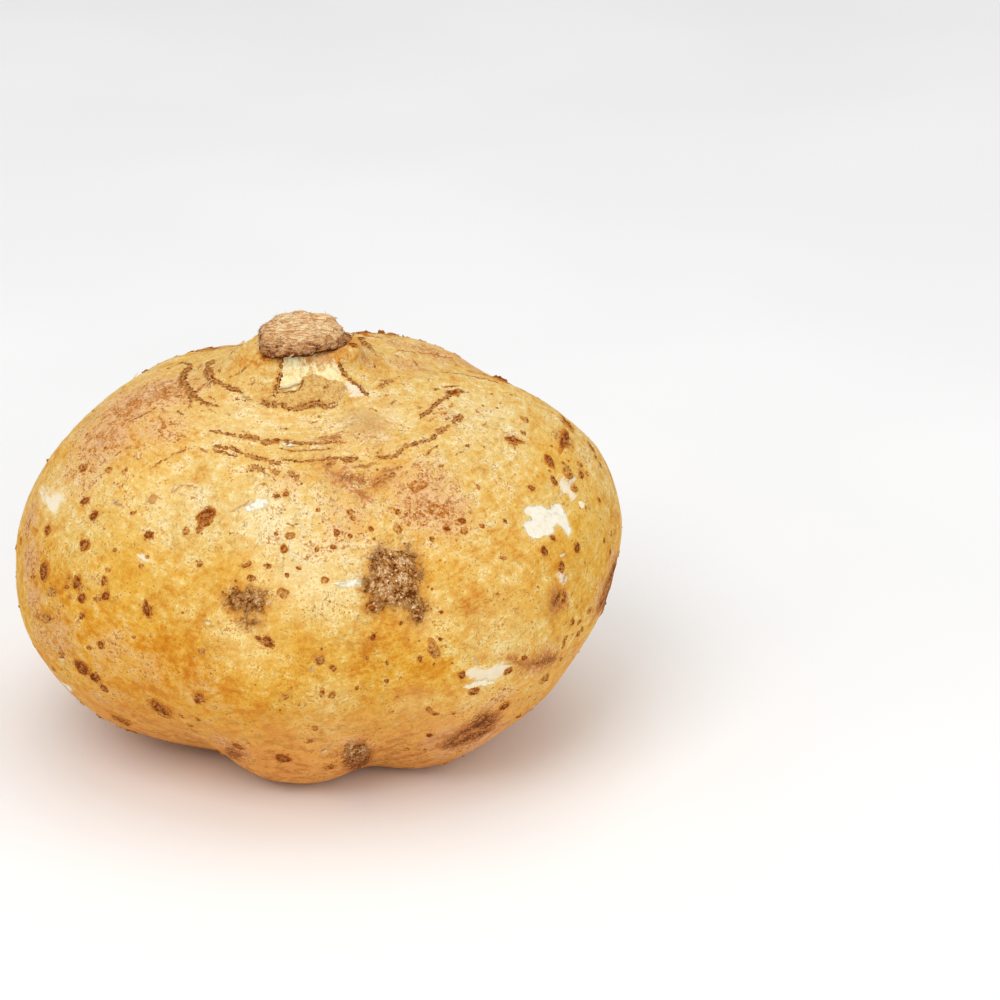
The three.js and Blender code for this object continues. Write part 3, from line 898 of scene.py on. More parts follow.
def fibre_marks():
    """Where the fibres lie: along X on the top, and more and more round the stem towards the rim."""
    dome = surface_tree(stem_end.data)
    marks = []
    for n in range(FIBRES_ON_TOP + FIBRES_AT_RIM):
        at_rim = n >= FIBRES_ON_TOP
        angle = chance.uniform(0, 2 * math.pi)
        climb = chance.uniform(0.36, 0.62) if at_rim else math.pi / 2 - 1.1 * math.sqrt(chance.uniform(0, 1))
        ray = Vector((math.cos(angle) * math.cos(climb), math.sin(angle) * math.cos(climb), math.sin(climb)))
        place, out = dome.ray_cast(STEM_HEART + ray * 40 * MM, -ray)[:2]
        if place is None:
            continue
        far_out = min((place - STEM_HEART).xy.length / (9 * MM), 1) ** 2
        turning = Vector((-math.sin(angle), math.cos(angle), 0)) * math.copysign(far_out, -math.sin(angle))
        along = Vector((1 - far_out, 0, 0)) + turning + Vector(chance.normal(0, 0.42, 3))
        along = (along - out * along.dot(out)).normalized()
        length = chance.uniform(*FIBRE_LENGTH) * (0.62 if at_rim else 1)
        wide = chance.uniform(*FIBRE_WIDTH) / STRIP_WIDTH
        tone = chance.choice(RIM_TONES if at_rim else TOP_TONES)
        marks.append((place - out * 0.08 * MM, out, along, Vector((length, wide, wide)) * MM, tone))
    return marks


def fibre_finish():
    """Dry wood fibre, from nearly white to dark brown."""
    finish = Finish("wood_fibre")
    grain = finish.grain(0.5, detail=3, stretch=(0.3, 1, 1))
    tone = finish.mark("tone") + (grain - 0.5) * 0.5
    finish.color = finish.mix(tone.between(0.0, 0.45), (255, 232, 190), (214, 156, 96))
    finish.coat(tone.between(0.45, 1.0), (120, 66, 34))
    return finish.done(0.8, finish.bump(grain, 0.08), gloss=0.03)


fibres = laid_out("stem_fibres", fibre_marks(), [strip_shape(seed) for seed in range(6)], fibre_finish())
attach(fibres, "root")


# ---- The scar ridges ----
# Rings round the crown where old leaf bases and bark cracked away. Each healed to a low crust of
# brown cork, often with two lips, that follows the skin.
STEP = 0.24  # length of one step along a ridge, mm
RIDGE_ROUGH = 0.40  # how uneven the crust is, mm
SECTION = ((-0.08, -1.15), (0.04, -0.9), (0.24, -0.6), (0.10, -0.15), (0.09, 0.15), (0.22, 0.6), (0.04, 0.9),
           (-0.08, 1.15))  # height and place across, in half-widths

# The ridges of the front: half-width in mm, tone from tan to dark, and corners in pixels.
RIDGES = [
    (0.81, 0.6, (262, 400), (268, 405), (281, 404), (290, 408), (300, 407), (310, 406), (318, 403),
     (325, 407), (332, 405), (338, 402)),
    (0.26, 0.0, (326, 407), (334, 404), (340, 398), (344, 392), (346, 387)),
    (0.89, 0.7, (213, 360), (208, 366), (209, 374), (215, 381), (228, 387), (243, 393)),
    (0.98, 0.7, (190, 366), (184, 374), (185, 385), (192, 394), (204, 402), (219, 407)),
    (0.36, 0.5, (192, 394), (199, 389), (205, 384), (211, 382)),
    (0.68, 0.6, (209, 431), (220, 432), (240, 436), (255, 438), (262, 441), (276, 443)),
    (0.36, 0.7, (276, 441), (282, 441), (300, 443), (320, 443), (344, 442)),
    (0.30, 0.7, (278, 447), (291, 451), (310, 450), (335, 448)),
    (0.62, 0.6, (214, 447), (232, 449), (240, 453), (253, 457), (262, 459), (272, 462), (285, 465)),
    (0.33, 0.7, (214, 447), (216, 451), (226, 453), (238, 456)),
    (0.36, 0.9, (282, 459), (295, 461), (310, 461), (335, 458), (358, 457)),
    (0.68, 0.6, (340, 459), (350, 461), (360, 458)),
    (0.62, 0.6, (375, 457), (384, 458), (390, 456), (397, 454), (408, 446), (418, 442), (428, 440),
     (440, 431), (450, 426)),
    (0.75, 0.7, (452, 423), (463, 415)),
    (0.78, 0.7, (420, 419), (431, 409), (442, 400), (446, 398), (452, 393), (462, 391), (470, 393)),
    (0.40, 0.7, (445, 387), (460, 386)),
    (0.36, 0.5, (352, 467), (362, 466), (372, 463)),
    (0.36, 0.5, (383, 470), (393, 469), (402, 467)),
    (0.36, 0.6, (425, 455), (438, 445)),
    (0.50, 0.6, (372, 488), (382, 478), (398, 474)),
    (0.60, 0.9, (338, 363), (345, 373), (353, 381), (361, 388), (370, 397)),
    (0.75, 0.5, (380, 388), (384, 383), (393, 380)),
    (0.81, 0.6, (251, 466), (258, 469), (264, 472)),
    (0.68, 0.6, (273, 470), (279, 474)),
    (0.68, 0.5, (288, 473), (300, 479)),
    (0.26, 0.8, (128, 423), (143, 415), (160, 406)),
    (0.26, 0.6, (113, 457), (125, 449), (135, 443)),
    (0.68, 0.9, (281, 357), (281, 370), (279, 381), (277, 390), (274, 397)),
    (1.00, 0.6, (347, 326), (353, 332), (359, 339), (366, 345)),
    (0.89, 0.5, (352, 338), (362, 344), (372, 349)),
    (0.27, 0.5, (228, 378), (242, 371), (252, 362)),
    (0.27, 0.6, (370, 408), (376, 412)),
    (0.30, 0.6, (440, 372), (470, 376), (500, 384)),
    (0.27, 0.5, (395, 352), (425, 353), (455, 360)),
    (0.26, 0.5, (150, 470), (172, 455), (196, 446)),
    (0.68, 0.9, (187, 385), (190, 389), (194, 394)),
    (0.61, 1.0, (212, 378), (216, 382), (220, 384)),
    (0.39, 0.7, (189, 396), (191, 403), (190, 408)),
    (0.60, 1.0, (449, 394), (454, 392), (459, 392)),
    (0.51, 0.8, (178, 363), (186, 364), (192, 366)),
    (0.29, 0.8, (184, 371), (181, 378), (183, 384)),
    (0.35, 0.7, (318, 438), (327, 437), (338, 437), (343, 436)),
    (0.35, 0.7, (345, 459), (351, 462), (357, 461)),
    # The last one is no scar but a painted shadow: a dark strip along the lower and right edges of the curled
    # flap of torn skin.
    (0.32, 1.0, (280, 393), (289, 392), (297, 391), (302, 385), (303, 379)),
]
HIDDEN_RIDGES = 26
HIDDEN_RINGS = [15.5, 19, 22, 25, 28.5, 32, 36]  # their distances from the stem, mm
CORK_BITS = 110  # short broken pieces of such rings, all round the crown


def seen_paths(rows):
    """Paths over the skin, each as its places, half-width and tone."""
    return [([on_skin(*corner)[0] for corner in corners], wide, tone) for wide, tone, *corners in rows]


def on_crown(angle, out):
    """The place on the skin at an angle round the stem and a distance from it in mm."""
    spot = compass(angle) * out * MM + STEM_AXIS
    return skin_tree.ray_cast(spot + Vector((0, 0, 0.2)), Vector((0, 0, -1)))[0]


def ridge_paths():
    """The path of every ridge: the seen ones, then random arcs round the crown and short bits."""
    paths = seen_paths(RIDGES)
    for _ in range(HIDDEN_RIDGES):
        out = chance.choice(HIDDEN_RINGS) + chance.normal(0, 0.6)
        turn = math.pi / 2 + chance.uniform(-1, 1) * (1.4 if out < 20 else 0.6)
        sweep = min(chance.uniform(0.15, 0.9), 14 / out + 0.25)
        wide, tone = chance.uniform(0.2, 0.6), chance.uniform(0.3, 0.9)
        steps = max(3, int(sweep * out / 2.5))
        arc = [on_crown(turn + sweep * (n / steps - 0.5), out) for n in range(steps + 1)]
        paths.append((arc, wide, tone))
    for _ in range(CORK_BITS):
        turn, out, length = chance.uniform(0, 2 * math.pi), chance.uniform(15, 46), chance.uniform(0.7, 3.0)
        bit = [on_crown(turn + share * length / out, out + chance.normal(0, 0.15))
               for share in (-0.5, 0, 0.5)]
        paths.append((bit, chance.uniform(0.12, 0.38), chance.uniform(0.3, 1.0)))
    return paths


def jittered(tree, geometry, amount, **look):
    """Geometry moved a little by noise, up to half the amount each way."""
    moves = tree.node("ShaderNodeTexNoise", {}, look, out="Color")
    moves = tree.node("ShaderNodeVectorMath", {"operation": "SUBTRACT"}, {0: moves, 1: (0.5, 0.5, 0.5)})
    moves = tree.node("ShaderNodeVectorMath", {"operation": "SCALE"}, {0: moves, "Scale": amount})
    return tree.node("GeometryNodeSetPosition", {}, {"Geometry": geometry, "Offset": moves})


def ridge_tree():
    """Sweeps a section along paths over a surface, with its flat side down on the surface."""
    tree = Growth("ridge_on_the_surface", Surface="Object", Section="Object", Step="Float", Roughness="Float",
                  Finish="Material")
    path = tree.node("GeometryNodeMeshToCurve", {}, {"Mesh": tree.given("Geometry")})
    path = tree.node("GeometryNodeCurveSplineType", {"spline_type": "CATMULL_ROM"}, {"Curve": path})
    steps = {"Curve": path, "Length": tree.given("Step")}
    path = tree.node("GeometryNodeResampleCurve", {"mode": "LENGTH"}, steps)
    path = jittered(tree, path, 1.6 * MM, Scale=420.0, Detail=2.0)
    ground = tree.node("GeometryNodeObjectInfo", {}, {"Object": tree.given("Surface")}, out="Geometry")
    down = tree.node("GeometryNodeProximity", {"target_element": "FACES"}, {0: ground}, out="Position")
    path = tree.node("GeometryNodeSetPosition", {}, {"Geometry": path, "Position": down})
    out = tree.node("GeometryNodeSampleNearestSurface", {"data_type": "FLOAT_VECTOR"},
                    {"Mesh": ground, "Value": tree.node("GeometryNodeInputNormal")})
    path = tree.node("GeometryNodeSetCurveNormal", {"mode": "FREE"}, {"Curve": path, "Normal": out})
    uneven = {"Scale": 1300.0, "Detail": 4.0, "Roughness": 0.8}
    breaks = tree.node("ShaderNodeTexNoise", {}, uneven, out="Fac")
    share = tree.node("GeometryNodeSplineParameter")
    ends = share.maths("PINGPONG", share, 0.5)
    wide = breaks.ranged(0.38, 0.60, 0.12, 1.3) * ends.ranged(0.0, 0.08, 0.25, 1.0)
    wide = wide * tree.stored("half_width")
    section = tree.node("GeometryNodeObjectInfo", {}, {"Object": tree.given("Section")}, out="Geometry")
    section = tree.node("GeometryNodeMeshToCurve", {}, {"Mesh": section})
    parts = {"Curve": path, "Profile Curve": section, "Scale": wide}
    swept = tree.node("GeometryNodeCurveToMesh", {}, parts)
    grit = {"Scale": 1900.0, "Detail": 3.0, "Roughness": 0.7}
    return tree.ended(jittered(tree, swept, tree.given("Roughness"), **grit))


def line_mesh(name, lines):
    """A mesh of open lines of places."""
    starts = np.cumsum([0] + [len(line) for line in lines])
    links = [(start + n, start + n + 1) for start, line in zip(starts, lines) for n in range(len(line) - 1)]
    mesh = bpy.data.meshes.new(name)
    mesh.from_pydata([place for line in lines for place in line], links, [])
    return mesh


def swept_over_skin(name, paths, section, roughness, finish):
    """A piece of one section swept along paths over the skin."""
    lines = line_mesh(name + "_paths", [path for path, _, _ in paths])
    give(lines, half_width=[wide * MM for path, wide, _ in paths for _ in path],
         tone=[tone for path, _, tone in paths for _ in path])
    outline = piece(name + "_section", line_mesh(name + "_section", [[(*spot, 0) for spot in section]]))
    give(outline.data, across=[across for _, across in section])
    swept = ridge_tree().grown_on(name, lines, Surface=skin, Section=outline, Step=STEP * MM,
                                  Roughness=roughness * MM, Finish=finish)
    bpy.data.objects.remove(outline)
    return swept


def cork_finish():
    """Dry cork: patches of tan, brown and near black, with rusty edges."""
    finish = Finish("cork_crust")
    fine = finish.grain(0.24, detail=4, roughness=0.75)
    patchy = finish.grain(0.7, detail=5, roughness=0.72, shift=0.03)
    away = abs(finish.mark("across")) + (patchy - 0.5) * 1.6
    tone = finish.mark("tone") + (patchy - 0.5) * 5.0 + (fine - 0.5) * 2.0
    finish.color = finish.mix(fine.between(0.4, 0.60), (182, 108, 46), (230, 176, 102))
    finish.coat(tone.between(0.4, 1.0), finish.mix(fine.between(0.42, 0.64), (86, 28, 6), (158, 78, 28)))
    finish.coat(away.between(0.42, 0.15) * 0.65, (214, 158, 92))
    finish.coat(away.between(0.75, 1.1) * 0.9, (214, 146, 60))
    return finish.done(0.8, finish.bump(fine + patchy * 0.8, 0.20))


paths = ridge_paths()
ridges = swept_over_skin("scar_ridges", paths, SECTION, RIDGE_ROUGH, cork_finish())
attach(ridges, "root")


# ---- The lenticels ----
# Breathing pores of the skin, healed to small crusts of dark cork with a raised rim and a pitted
# middle. They are scattered all over the root, the larger ones drawn out along its slopes.
CRUST_HEIGHT = 0.30  # of a rim over the skin, as a share of the crust's half-width
CRUST_SIDES = 14
CRUST_RINGS = ((0.36, 0.35, 0.30), (0.66, 0.80, 0.35), (0.92, 0.35, 0.15), (1.22, -0.55, 0.0))
# how far out a ring is, how high and how uneven, as shares of the half width
STAIN = 0.5  # how much wider than a lenticel the stain round it is, mm
HIDDEN_LENTICELS = 430
DARKEST, DARK, BROWN, PALE = 1.0, 0.75, 0.45, 0.1

# The lenticels of the front: pixel, half length and half width in pixels, and turn in degrees. A round
# one has one half width and no turn.
LENTICELS = {
    DARKEST: [
        (85, 501, 5, 3, 25), (94, 516, 6, 3, 45), (149, 535, 5, 4), (77, 583, 8, 3, 70), (82, 598, 5, 4, 60),
        (106, 596, 4.5), (147, 609, 8.5, 3.5, -75), (101, 645, 4.5, 3, 80), (82, 667, 8, 6, -30),
        (95, 677, 5, 4), (277, 496, 3, 2), (401, 623, 2), (373, 637, 4, 2.5, 70), (387, 681, 2),
        (420, 659, 2.5), (283, 758, 9, 3.5, -12), (440, 639, 2), (577, 548, 5.5, 2.5, 80), (524, 658, 3, 2.5),
        (462, 675, 4, 3.5), (435, 714, 2.5, 1.5), (462, 521, 4, 3.5), (447, 529, 3.5, 2.5),
        (505, 521, 2, 1.5), (531, 488, 2.8, 2.5), (553, 538, 2.5), (372, 608, 4, 3), (452, 393, 5, 3, 30),
        (277, 440, 3.5, 2.5), (429, 735, 3, 2), (353, 345, 4, 2.5, -20), (267, 356, 6, 4, 20),
    ],
    DARK: [
        (84.5, 469, 4.5, 2, 50), (207, 515, 10, 7, 25), (205, 523, 6, 4), (85, 545, 7, 5, 80),
        (48, 530, 5, 3.5, 60), (45, 571, 9, 5, 65), (104, 581, 5, 3, 80), (82, 616, 4, 3, 80),
        (104, 688, 6, 2.5, -45), (160, 708, 12.5, 4.5, -52), (122, 720, 11, 3, -30), (199, 698, 7, 4.5, 80),
        (268, 642, 8, 5, -35), (258, 638, 4, 2, -20), (337, 533, 4, 3, 80), (330, 767, 6, 2, 10),
        (544, 551, 5, 3.5, -40), (561, 567, 5, 4, 70), (563, 597, 7, 3, 80), (508, 671, 5, 3, 30),
        (549, 461, 8, 4, -57), (554, 481, 6.5, 2.5, -55), (564, 440, 9, 4, 80), (567, 423, 9, 2, -58),
        (591, 447, 7, 1.5, -60), (581, 475, 4, 2, 80), (504, 706, 4), (286, 494, 3.5, 2.5),
        (238, 746, 6, 2.5, -35), (513, 440, 9.5, 2.5, -10), (310, 741, 2), (348, 461, 5, 2),
    ],
    BROWN: [
        (109, 470, 4, 3, 20), (125, 471, 3.5, 2.5, 40), (133, 513, 3, 2, 15), (199, 529, 5, 3.5, 80),
        (21, 541, 4, 2, 90), (115, 550, 2.5, 2, 60), (147, 557, 2.5, 2), (164, 392, 2, 1.5),
        (137, 447, 2, 1.5), (105, 448, 1.5), (33, 577, 3, 2), (69, 578, 2, 1.5), (67, 587, 3, 2),
        (71, 597, 2), (98, 599, 4, 3), (200, 564, 4, 3, 80), (141, 566, 3, 2, 20), (134, 637, 2.5, 1.5),
        (89, 648, 3, 2), (62, 654, 3, 2), (54, 669, 3, 2, -60), (182, 716, 2.5, 2), (198, 719, 2),
        (190, 725, 4, 1.5, -35), (194, 657, 1.5, 1), (276, 534, 2.5, 2), (284, 549, 5, 4, -60),
        (317, 549, 4, 2.5, 90), (310, 542, 1.5), (333, 547, 4, 2.5), (247, 565, 6, 2.5, 30), (268, 566, 4, 3),
        (299, 568, 3.5, 2), (287, 575, 2.5), (251, 578, 5, 3.5), (318, 510, 2.5, 2), (350, 512, 4, 3),
        (353, 518, 3), (350, 536, 3, 2.5), (371, 529, 3), (398, 512, 3.5), (367, 658, 2.5, 2),
        (387, 663, 3, 1.5, -60), (385, 686, 1.2, 1), (419, 641, 1.2, 1), (409, 640, 1.2, 1),
        (333, 668, 4, 3.5), (322, 693, 5, 2.5, 90), (357, 688, 2.5, 2), (285, 697, 4, 2.5),
        (291, 688, 1.2, 1), (280, 710, 1.2, 1), (270, 710, 1.2, 1), (299, 705, 1.2, 1), (407, 749, 2.5, 2),
        (425, 750, 2), (430, 710, 2.5), (434, 664, 1.5), (452, 663, 1.2, 1), (441, 612, 2.5, 2),
        (432, 589, 1.5), (498, 594, 2, 1.5), (503, 558, 4, 2), (585, 562, 2, 1, 90), (604, 541, 3, 1.5, 80),
        (611, 534, 3.5, 1.2, 85), (610, 552, 3, 1.5, 80), (538, 587, 1.5), (565, 639, 2.5),
        (563, 646, 5, 1.5, 70), (561, 659, 2, 1.5), (518, 716, 2.5, 2), (428, 709, 2.5), (454, 713, 2),
        (444, 413, 3, 1.5), (441, 466, 3, 1.5), (478, 487, 3, 1.5, -70), (432, 539, 3), (482, 526, 3, 2.5),
        (523, 433, 3.5, 2, -40), (483, 406, 1.5, 1), (492, 394, 1.5, 1), (511, 395, 1.5, 1),
        (497, 408, 1.5, 1), (550, 471, 1.5), (563, 463, 2, 1.5), (580, 465, 2.5, 2),
        (587, 474, 2.5, 1.5, -50), (586, 508, 2, 1, 90), (599, 500, 2, 1.5, -40), (563, 504, 1.5, 1),
        (595, 457, 1.5), (600, 465, 4, 1.5, -60), (589, 611, 4, 2, 60), (572, 622, 3, 2.5, 40),
        # (474, 691) is no pore but a painted shadow: a brown crust in the shade under the torn sliver there.
        (579, 622, 2.5, 2), (582, 629, 3, 2.5, 60), (578, 634, 3, 2), (474, 691, 5, 4), (264, 484, 2, 1.5),
        (422, 487, 3, 2),
    ],
    PALE: [
        (186, 531, 5, 3.5, 90), (52, 592, 6, 5), (108, 570, 3, 2.5), (202, 651, 4, 3.5), (290, 536, 5, 4),
        (325, 580, 4), (283, 593, 6.5, 5.5), (398, 529, 5), (332, 695, 4, 3.5), (315, 728, 3.5),
        (434, 650, 9, 6, -65), (544, 679, 7, 4, 52), (525, 420, 4.5, 3, -25), (567, 471, 6.5, 4.5, -45),
        (574, 488, 4.5, 3.5, -50), (464, 531, 4), (320, 660, 6, 5), (46, 618, 8, 5),
    ],
}


def pixel_size(place):
    """How long a pixel is at a place."""
    return (place - camera.location).length * SENSOR / LENS / PICTURE


def seen_mark(thickness, tone, px, py, half_long, half_wide=None, degrees=0):
    """A mark on the skin as it shows from the camera. Its thickness is a share of its half width."""
    half_wide = half_wide or half_long
    place, out = on_skin(px, py)
    cos, sin = math.cos(math.radians(degrees)), math.sin(math.radians(degrees))
    tip = on_skin(px + half_long * cos, py - half_long * sin)[0] - place
    side = on_skin(px + half_wide * sin, py + half_wide * cos)[0] - place
    least, most = 0.8 * pixel_size(place), 1.9 * pixel_size(place)
    along = min(max(tip.length, least * half_long), most * half_long)
    across = min(max(side.length, least * half_wide), most * half_wide)
    return place, out, tip.normalized(), Vector((along, across, thickness * min(along, across))), tone


def hidden_mark(thickness, tone, longest, low_z=0.0):
    """A mark of random size and turn somewhere on the skin that the camera doesn't see."""
    place, out = skin_tree.find_nearest(Vector(hidden_place(low_z)))[:2]
    along = Vector(chance.normal(0, 1, 3)) + Vector((-place.y, place.x, 0)).normalized()
    along = (along - out * along.dot(out)).normalized()
    half_long = (0.22 + longest * chance.beta(1.2, 4.5)) * MM
    across = half_long * chance.uniform(0.45, 1.0)
    return place, out, along, Vector((half_long, across, thickness * across)), tone


def crust_shape(seed):
    """A ragged crust of one unit radius: a pitted middle, an uneven rim and a thin skirt below the skin."""
    uneven = np.random.default_rng(seed)
    phases = uneven.uniform(0, 2 * math.pi, 4)
    places = [(0, 0, 0.3)]
    for out, up, wild in CRUST_RINGS:
        for n in range(CRUST_SIDES):
            angle = 2 * math.pi * (n + uneven.uniform(-0.2, 0.2)) / CRUST_SIDES
            lobes = sum(math.sin((k + 2) * angle + phase) / (k + 2) ** 0.7 for k, phase in enumerate(phases))
            far = out * (1 + 0.14 * lobes + 0.04 * uneven.normal())
            places.append((far * math.cos(angle), far * math.sin(angle), up + wild * uneven.normal()))
    mesh = smooth_mesh("crust", places, disc_faces(len(CRUST_RINGS), CRUST_SIDES))
    give(mesh, ring=[0.0] + [out for out, _, _ in CRUST_RINGS for _ in range(CRUST_SIDES)])
    return mesh


def lenticel_finish():
    """Cork of a pore: dark and brown in patches, paler and dented in the middle, with a rusty edge."""
    finish = Finish("lenticel_cork")
    mix, coat = finish.mix, finish.coat
    fine = finish.grain(0.24, detail=4, roughness=0.75)
    patchy = finish.grain(0.75, detail=5, roughness=0.72, shift=0.03)
    ring = finish.mark("ring") + (patchy - 0.5) * 2.0
    tone = finish.mark("tone") * 0.9 + (patchy - 0.5) * 4.6 + (fine - 0.5) * 1.0
    finish.color = mix(fine.between(0.40, 0.60), (212, 144, 62), (242, 196, 114))
    coat(tone.between(0.05, 0.55), mix(fine.between(0.40, 0.60), (146, 66, 20), (204, 130, 64)))
    coat(tone.between(0.45, 1.0), mix(fine.between(0.40, 0.60), (90, 30, 6), (160, 82, 30)))
    coat(ring.between(0.50, 0.20) * 0.55, (204, 138, 76))
    broken = ring.between(0.48, 0.70) * patchy.between(0.42, 0.54)
    coat(broken * 0.75, mix(fine.between(0.4, 0.6), (110, 40, 10), (160, 78, 28)))
    coat(ring.between(0.80, 1.08), (214, 138, 50))
    return finish.done(0.75, finish.bump(fine + patchy * 0.8, 0.16))


marks = [seen_mark(CRUST_HEIGHT, tone, *mark) for tone, seen in LENTICELS.items() for mark in seen]
marks += [hidden_mark(CRUST_HEIGHT, chance.uniform(0.1, 1.0), 2.4) for _ in range(HIDDEN_LENTICELS)]
lenticels = laid_out("lenticels", marks, [crust_shape(seed) for seed in range(9)], lenticel_finish())
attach(lenticels, "root")

# The skin is stained round the lenticels and along the ridges.
halo = np.zeros(len(at))
for place, _, _, size, tone in marks:
    reach = np.linalg.norm(at - np.array(place), axis=1) / (max(size.x, size.y) + STAIN * MM)
    halo = np.maximum(halo, (0.35 + 0.5 * tone) * np.exp(-(reach ** 3)))
for path, wide, tone in paths:
    for a, b in zip(path, path[1:]):
        for share in (0.0, 0.33, 0.67):
            reach = np.linalg.norm(at - np.array(a.lerp(b, share)), axis=1) / ((wide + 0.7) * MM)
            halo = np.maximum(halo, 0.55 * np.exp(-(reach ** 2)))
give(skin_mesh, halo=halo)


# ---- The scabs' crumbs ----
# Cork and dry earth that crumbled where the skin healed thick. Loose grains of all sizes cling there,
# close together inside a scab and thinly at its edge.
CRUMB_GAP = 0.42  # between the middles of grains, mm
CRUMB_SIZES = (0.08, 0.32)  # half across, mm
CRUMB_SHAPES = 7


def crumb_shape(seed):
    """A rough grain of one unit radius."""
    uneven = np.random.default_rng(seed)
    work = bmesh.new()
    bmesh.ops.create_icosphere(work, subdivisions=1, radius=1)
    for corner in work.verts:
        corner.co *= uneven.uniform(0.65, 1.25)
    mesh = bpy.data.meshes.new("crumb")
    work.to_mesh(mesh)
    work.free()
    return mesh


def crumb_tree():
    """Scatters shapes over the scabs of a skin, more of them inside than at the edges."""
    tree = Growth("crumbs_on_the_scabs", Shapes="Collection", Gap="Float", Finish="Material")
    bumpy = {"Scale": 650.0, "Detail": 3.0, "Roughness": 0.7}
    broken = tree.node("ShaderNodeTexNoise", {}, bumpy, out="Fac")
    inside = tree.stored("scab") + broken.ranged(0.35, 0.65, -2.4, 1.0)
    spread = {"Mesh": tree.given("Geometry"), "Distance Min": tree.given("Gap"), "Density Max": 9e6,
              "Density Factor": inside.ranged(-0.8, 0.8), "Seed": 5}
    points = tree.node("GeometryNodeDistributePointsOnFaces", {"distribute_method": "POISSON"}, spread)
    named = {"Geometry": points, "Name": "tone", "Value": tree.random(3)}
    points = tree.node("GeometryNodeStoreNamedAttribute", {"data_type": "FLOAT"}, named)
    whirl = {"Min": (0, 0, 0), "Max": (6.3, 6.3, 6.3), "Seed": 8}
    turn = tree.node("FunctionNodeRandomValue", {"data_type": "FLOAT_VECTOR"}, whirl)
    draw = tree.random(13)
    size = draw.maths("POWER", draw, 2.2).ranged(0.0, 1.0, *(size * MM for size in CRUMB_SIZES))
    choice = {"Max": CRUMB_SHAPES - 1, "Seed": 21}
    pick = tree.node("FunctionNodeRandomValue", {"data_type": "INT"}, choice, out=2)
    return tree.shapes_on(Points=points, Instance_Index=pick, Rotation=turn, Scale=size)


def crumb_finish():
    """Dry earth and cork, from near black to cream, in clods of one colour."""
    finish = Finish("crumbs")
    grain = finish.grain(0.3, detail=4, roughness=0.7)
    clods = finish.grain(2.2, detail=4, roughness=0.65, shift=0.4)
    knobs = finish.grain(0.8, detail=3, roughness=0.6, shift=0.6)
    tone = finish.mark("tone") + (grain - 0.5) * 0.5 + 0.06 + (clods - 0.5) * 2.0 + (knobs - 0.5) * 2.6
    finish.color = finish.mix(tone.between(0.0, 0.45), (92, 34, 10), (182, 122, 66))
    finish.coat(tone.between(0.40, 0.75), (218, 178, 128))
    finish.coat(tone.between(0.88, 1.05), (246, 228, 192))
    finish.coat(finish.height().between(16 * MM, 8 * MM) * 0.7, (134, 62, 26))
    return finish.done(0.9, finish.bump(grain, 0.1))


crumb_shapes = [crumb_shape(seed) for seed in range(CRUMB_SHAPES)]
crumbs = crumb_tree().grown_on("scab_crumbs", skin_mesh.copy(), crumb_shapes, smooth=False,
                               Gap=CRUMB_GAP * MM, Finish=crumb_finish())
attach(crumbs, "root")


# ---- The torn skin's flakes ----
# Shreds of the thin skin that lifted at one side, dried and curled. They are skin, painted brown underneath
# as a painted shade.
# Each seen one: tone from white to tan, pixel, half length and half width in pixels, turn in degrees.
FLAKES = [
    (0.8, 153, 499, 5, 3.5, 60), (0.5, 116, 502, 4, 1.8, -30), (0.05, 572, 480, 4.5, 2.2, 30),
    (0.15, 560, 494, 2.5, 1.8, 60), (0.1, 581, 505, 4, 1.8, -55), (0.2, 562, 555, 3, 1.8, 20),
    (0.2, 565, 579, 3, 2, 60), (0.3, 62, 659, 3, 1.8), (0.2, 208, 623, 2.6, 2), (0.3, 324, 751, 3, 1.8, 30),
    (0.7, 312, 669, 4, 1.8, 70), (0.5, 268, 602, 3.4, 2.2, 60), (0.6, 476, 661, 4, 1.8, -70),
]
HIDDEN_FLAKES = 36
FLAKE_ROWS, FLAKE_COLUMNS = 8, 5
FLAKE_LIFT, FLAKE_THICK = 0.12, 0.14  # as shares of its half width
FLAKE_HEIGHT = 0.8  # of a curl, as a share of the half width


def flake_shape(seed):
    """A thin ragged sheet of one unit half width, one long side of it curled up. It is closed all round."""
    uneven = np.random.default_rng(seed)
    curl, twist = uneven.uniform(0.35, 0.8), uneven.uniform(-0.15, 0.15)
    places, faces = [], []
    for under in (0, 1):
        for row in range(FLAKE_ROWS):
            along = 2 * row / (FLAKE_ROWS - 1) - 1
            ragged = (1 - abs(along) ** 3 * 0.75) * (1 + 0.12 * math.sin(5 * along + seed))
            for column in range(FLAKE_COLUMNS):
                across = (2 * column / (FLAKE_COLUMNS - 1) - 1) * ragged
                lift = curl * max(0, across + 0.4) ** 2 + twist * along * across
                edge = 0.06 * math.sin(9 * along + 4 * across + 2 * seed)
                places.append((along + edge, across - 0.25 * lift, FLAKE_LIFT + lift - under * FLAKE_THICK))
    count = FLAKE_ROWS * FLAKE_COLUMNS
    for row in range(FLAKE_ROWS - 1):
        for column in range(FLAKE_COLUMNS - 1):
            a = row * FLAKE_COLUMNS + column
            top = (a, a + FLAKE_COLUMNS, a + FLAKE_COLUMNS + 1, a + 1)
            faces += [top, tuple(count + corner for corner in reversed(top))]
    grid = np.arange(count).reshape(FLAKE_ROWS, FLAKE_COLUMNS)
    rim = [*grid[0], *grid[1:, -1], *grid[-1, -2::-1], *grid[-2:0:-1, 0]]
    for a, b in zip(rim, rim[1:] + rim[:1]):
        faces.append((a, b, count + b, count + a))
    mesh = closed_mesh("flake", places, faces)
    give(mesh, under=[0.0] * count + [1.0] * count)
    return mesh


